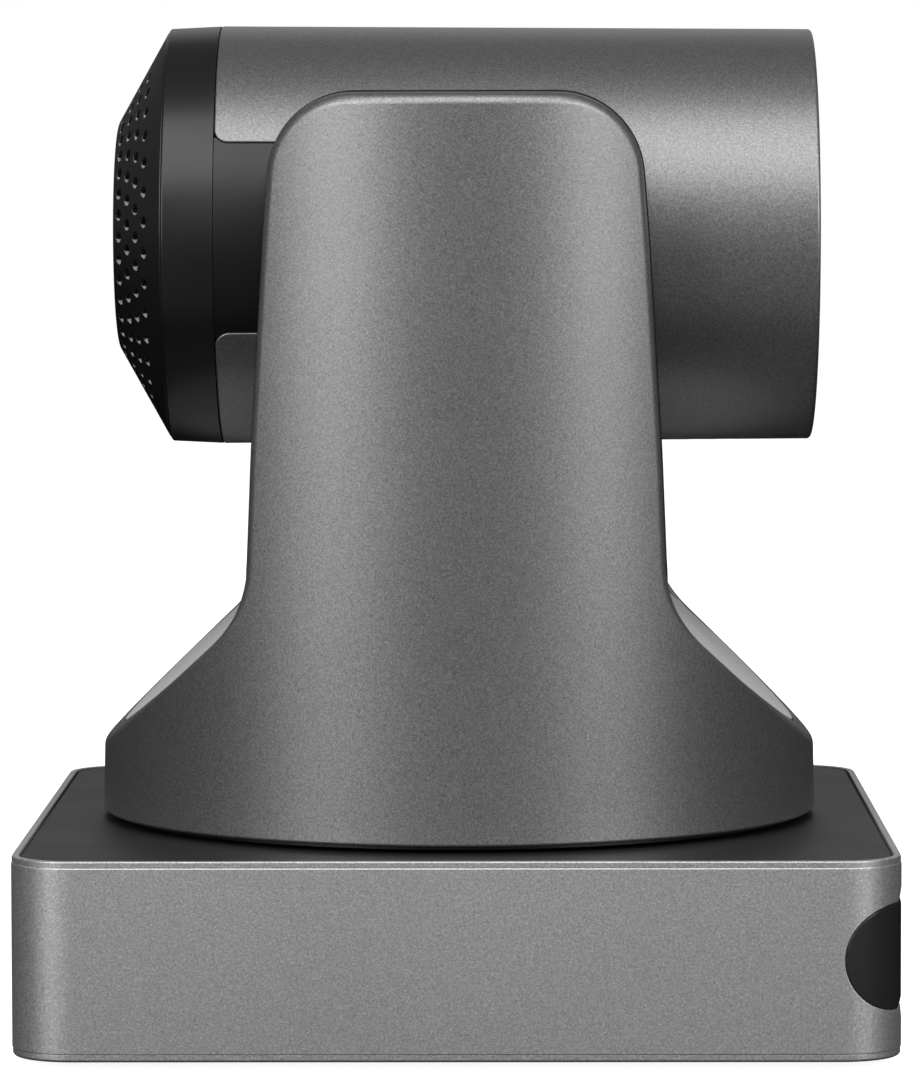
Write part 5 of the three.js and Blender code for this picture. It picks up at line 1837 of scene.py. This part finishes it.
# ------------------------------------------------------------------ floor, light and camera
FLOOR_GLOW = 0.92
FLOOR_BOUNCE = 0.005
WORLD = [(0.0, 0.16), (0.12, 0.15), (0.28, 0.10), (0.5, 0.12), (0.75, 0.10), (0.9, 0.10), (1.0, 0.09)]
LIGHTS = [
    ("left_box", (-0.93, -1.06, 0.55), (0, 0, 0.15), 0.72, 0.80, 9.3),
    ("right_box", (1.06, -0.96, 0.55), (0, 0, 0.15), 0.57, 0.80, 8.2),
    ("top_box", (0.0, -0.81, 1.06), (0, 0, 0.10), 1.5, 0.95, 13.0),
    ("back_box", (0.0, 1.35, 0.80), (0, 0, 0.10), 1.3, 0.7, 1.4),
    ("floor_card", (0.0, -0.24, 0.012), (0, -0.17, 0.5), 0.7, 0.16, 0.06),
]
def area_light(name, place, target, sx, sy, power, spread=180):
    d = bpy.data.lights.new(name, "AREA")
    d.shape = "RECTANGLE"
    d.size, d.size_y = sx, sy
    d.energy = power
    d.spread = math.radians(spread)
    o = bpy.data.objects.new(name, d)
    o.location = place
    o.rotation_euler = (Vector(target) - Vector(place)).to_track_quat("-Z", "Y").to_euler()
    bpy.context.scene.collection.objects.link(o)
    return o


fm = Mesh()
p, n = round_rect(3000, 3000, 200, 8)
cover(fm, p, [], lambda q: np.array([q[0], q[1], 0.0]), lambda q: np.array([0, 0, 1.0]))
floor_mesh = bpy.data.meshes.new("floor")
floor_mesh.from_pydata([(x / 1000, y / 1000, z / 1000) for x, y, z in fm.co], [], fm.faces)
floor = bpy.data.objects.new("floor", floor_mesh)
bpy.context.scene.collection.objects.link(floor)
m, nt, b = new_material("pale_floor")
tc = node(nt, "ShaderNodeTexCoord")
g = node(nt, "ShaderNodeTexNoise", in_Scale=3.0, in_Detail=3.0, in_Roughness=0.5)
nt.links.new(tc.outputs["Object"], g.inputs["Vector"])
r = ramp(nt, g.outputs["Fac"], [(0.3, 0.90), (0.7, 0.92)])
nt.links.new(r.outputs["Color"], b.inputs["Base Color"])
b.inputs["Roughness"].default_value = 0.8
b.inputs["Specular IOR Level"].default_value = 0.1
b.inputs["Emission Color"].default_value = (1, 1, 1, 1)
b.inputs["Emission Strength"].default_value = FLOOR_GLOW
dim = node(nt, "ShaderNodeBsdfDiffuse")
dim.inputs["Color"].default_value = (FLOOR_BOUNCE, FLOOR_BOUNCE, FLOOR_BOUNCE, 1)
lp = node(nt, "ShaderNodeLightPath")
ms = node(nt, "ShaderNodeMixShader")
nt.links.new(lp.outputs["Is Camera Ray"], ms.inputs[0])
nt.links.new(dim.outputs[0], ms.inputs[1])
nt.links.new(b.outputs[0], ms.inputs[2])
nt.links.new(ms.outputs[0], nt.nodes["Material Output"].inputs["Surface"])
floor_mesh.materials.append(m)

world = bpy.data.worlds.new("studio")
bpy.context.scene.world = world
world.use_nodes = True
wt = world.node_tree
bg = wt.nodes["Background"]
wc = node(wt, "ShaderNodeTexCoord")
sep = node(wt, "ShaderNodeSeparateXYZ")
wt.links.new(wc.outputs["Generated"], sep.inputs["Vector"])
mr = node(wt, "ShaderNodeMapRange")
mr.inputs["From Min"].default_value = -1.0
mr.inputs["From Max"].default_value = 1.0
wt.links.new(sep.outputs["Y"], mr.inputs["Value"])
wr = ramp(wt, mr.outputs["Result"], WORLD)
lp = node(wt, "ShaderNodeLightPath")
mx = node(wt, "ShaderNodeMix", data_type="RGBA")
wt.links.new(lp.outputs["Is Camera Ray"], mx.inputs["Factor"])
wt.links.new(wr.outputs["Color"], mx.inputs[6])
mx.inputs[7].default_value = (1.0, 1.0, 1.0, 1)
wt.links.new(mx.outputs[2], bg.inputs["Color"])
bg.inputs["Strength"].default_value = 1.0

for spec in LIGHTS:
    area_light(*spec).visible_camera = False
bpy.context.scene.view_settings.view_transform = "Standard"

cam = bpy.data.cameras.new("camera")
cam.sensor_fit = "VERTICAL"
cam.sensor_height = 36.0
cam.sensor_width = 36.0
cam.lens = 188.47
cam.clip_start = 0.05
cam.clip_end = 20.0
co = bpy.data.objects.new("camera", cam)
co.location = (0.00813, -0.9568, 0.1447)
PITCH, YAW, ROLL = math.radians(86.089), math.radians(0.484), math.radians(-0.105)
co.rotation_euler = (Matrix.Rotation(YAW, 3, "Z") @ Matrix.Rotation(PITCH, 3, "X") @ Matrix.Rotation(ROLL, 3, "Z")).to_euler()
bpy.context.scene.collection.objects.link(co)
bpy.context.scene.camera = co

bpy.context.view_layer.update()
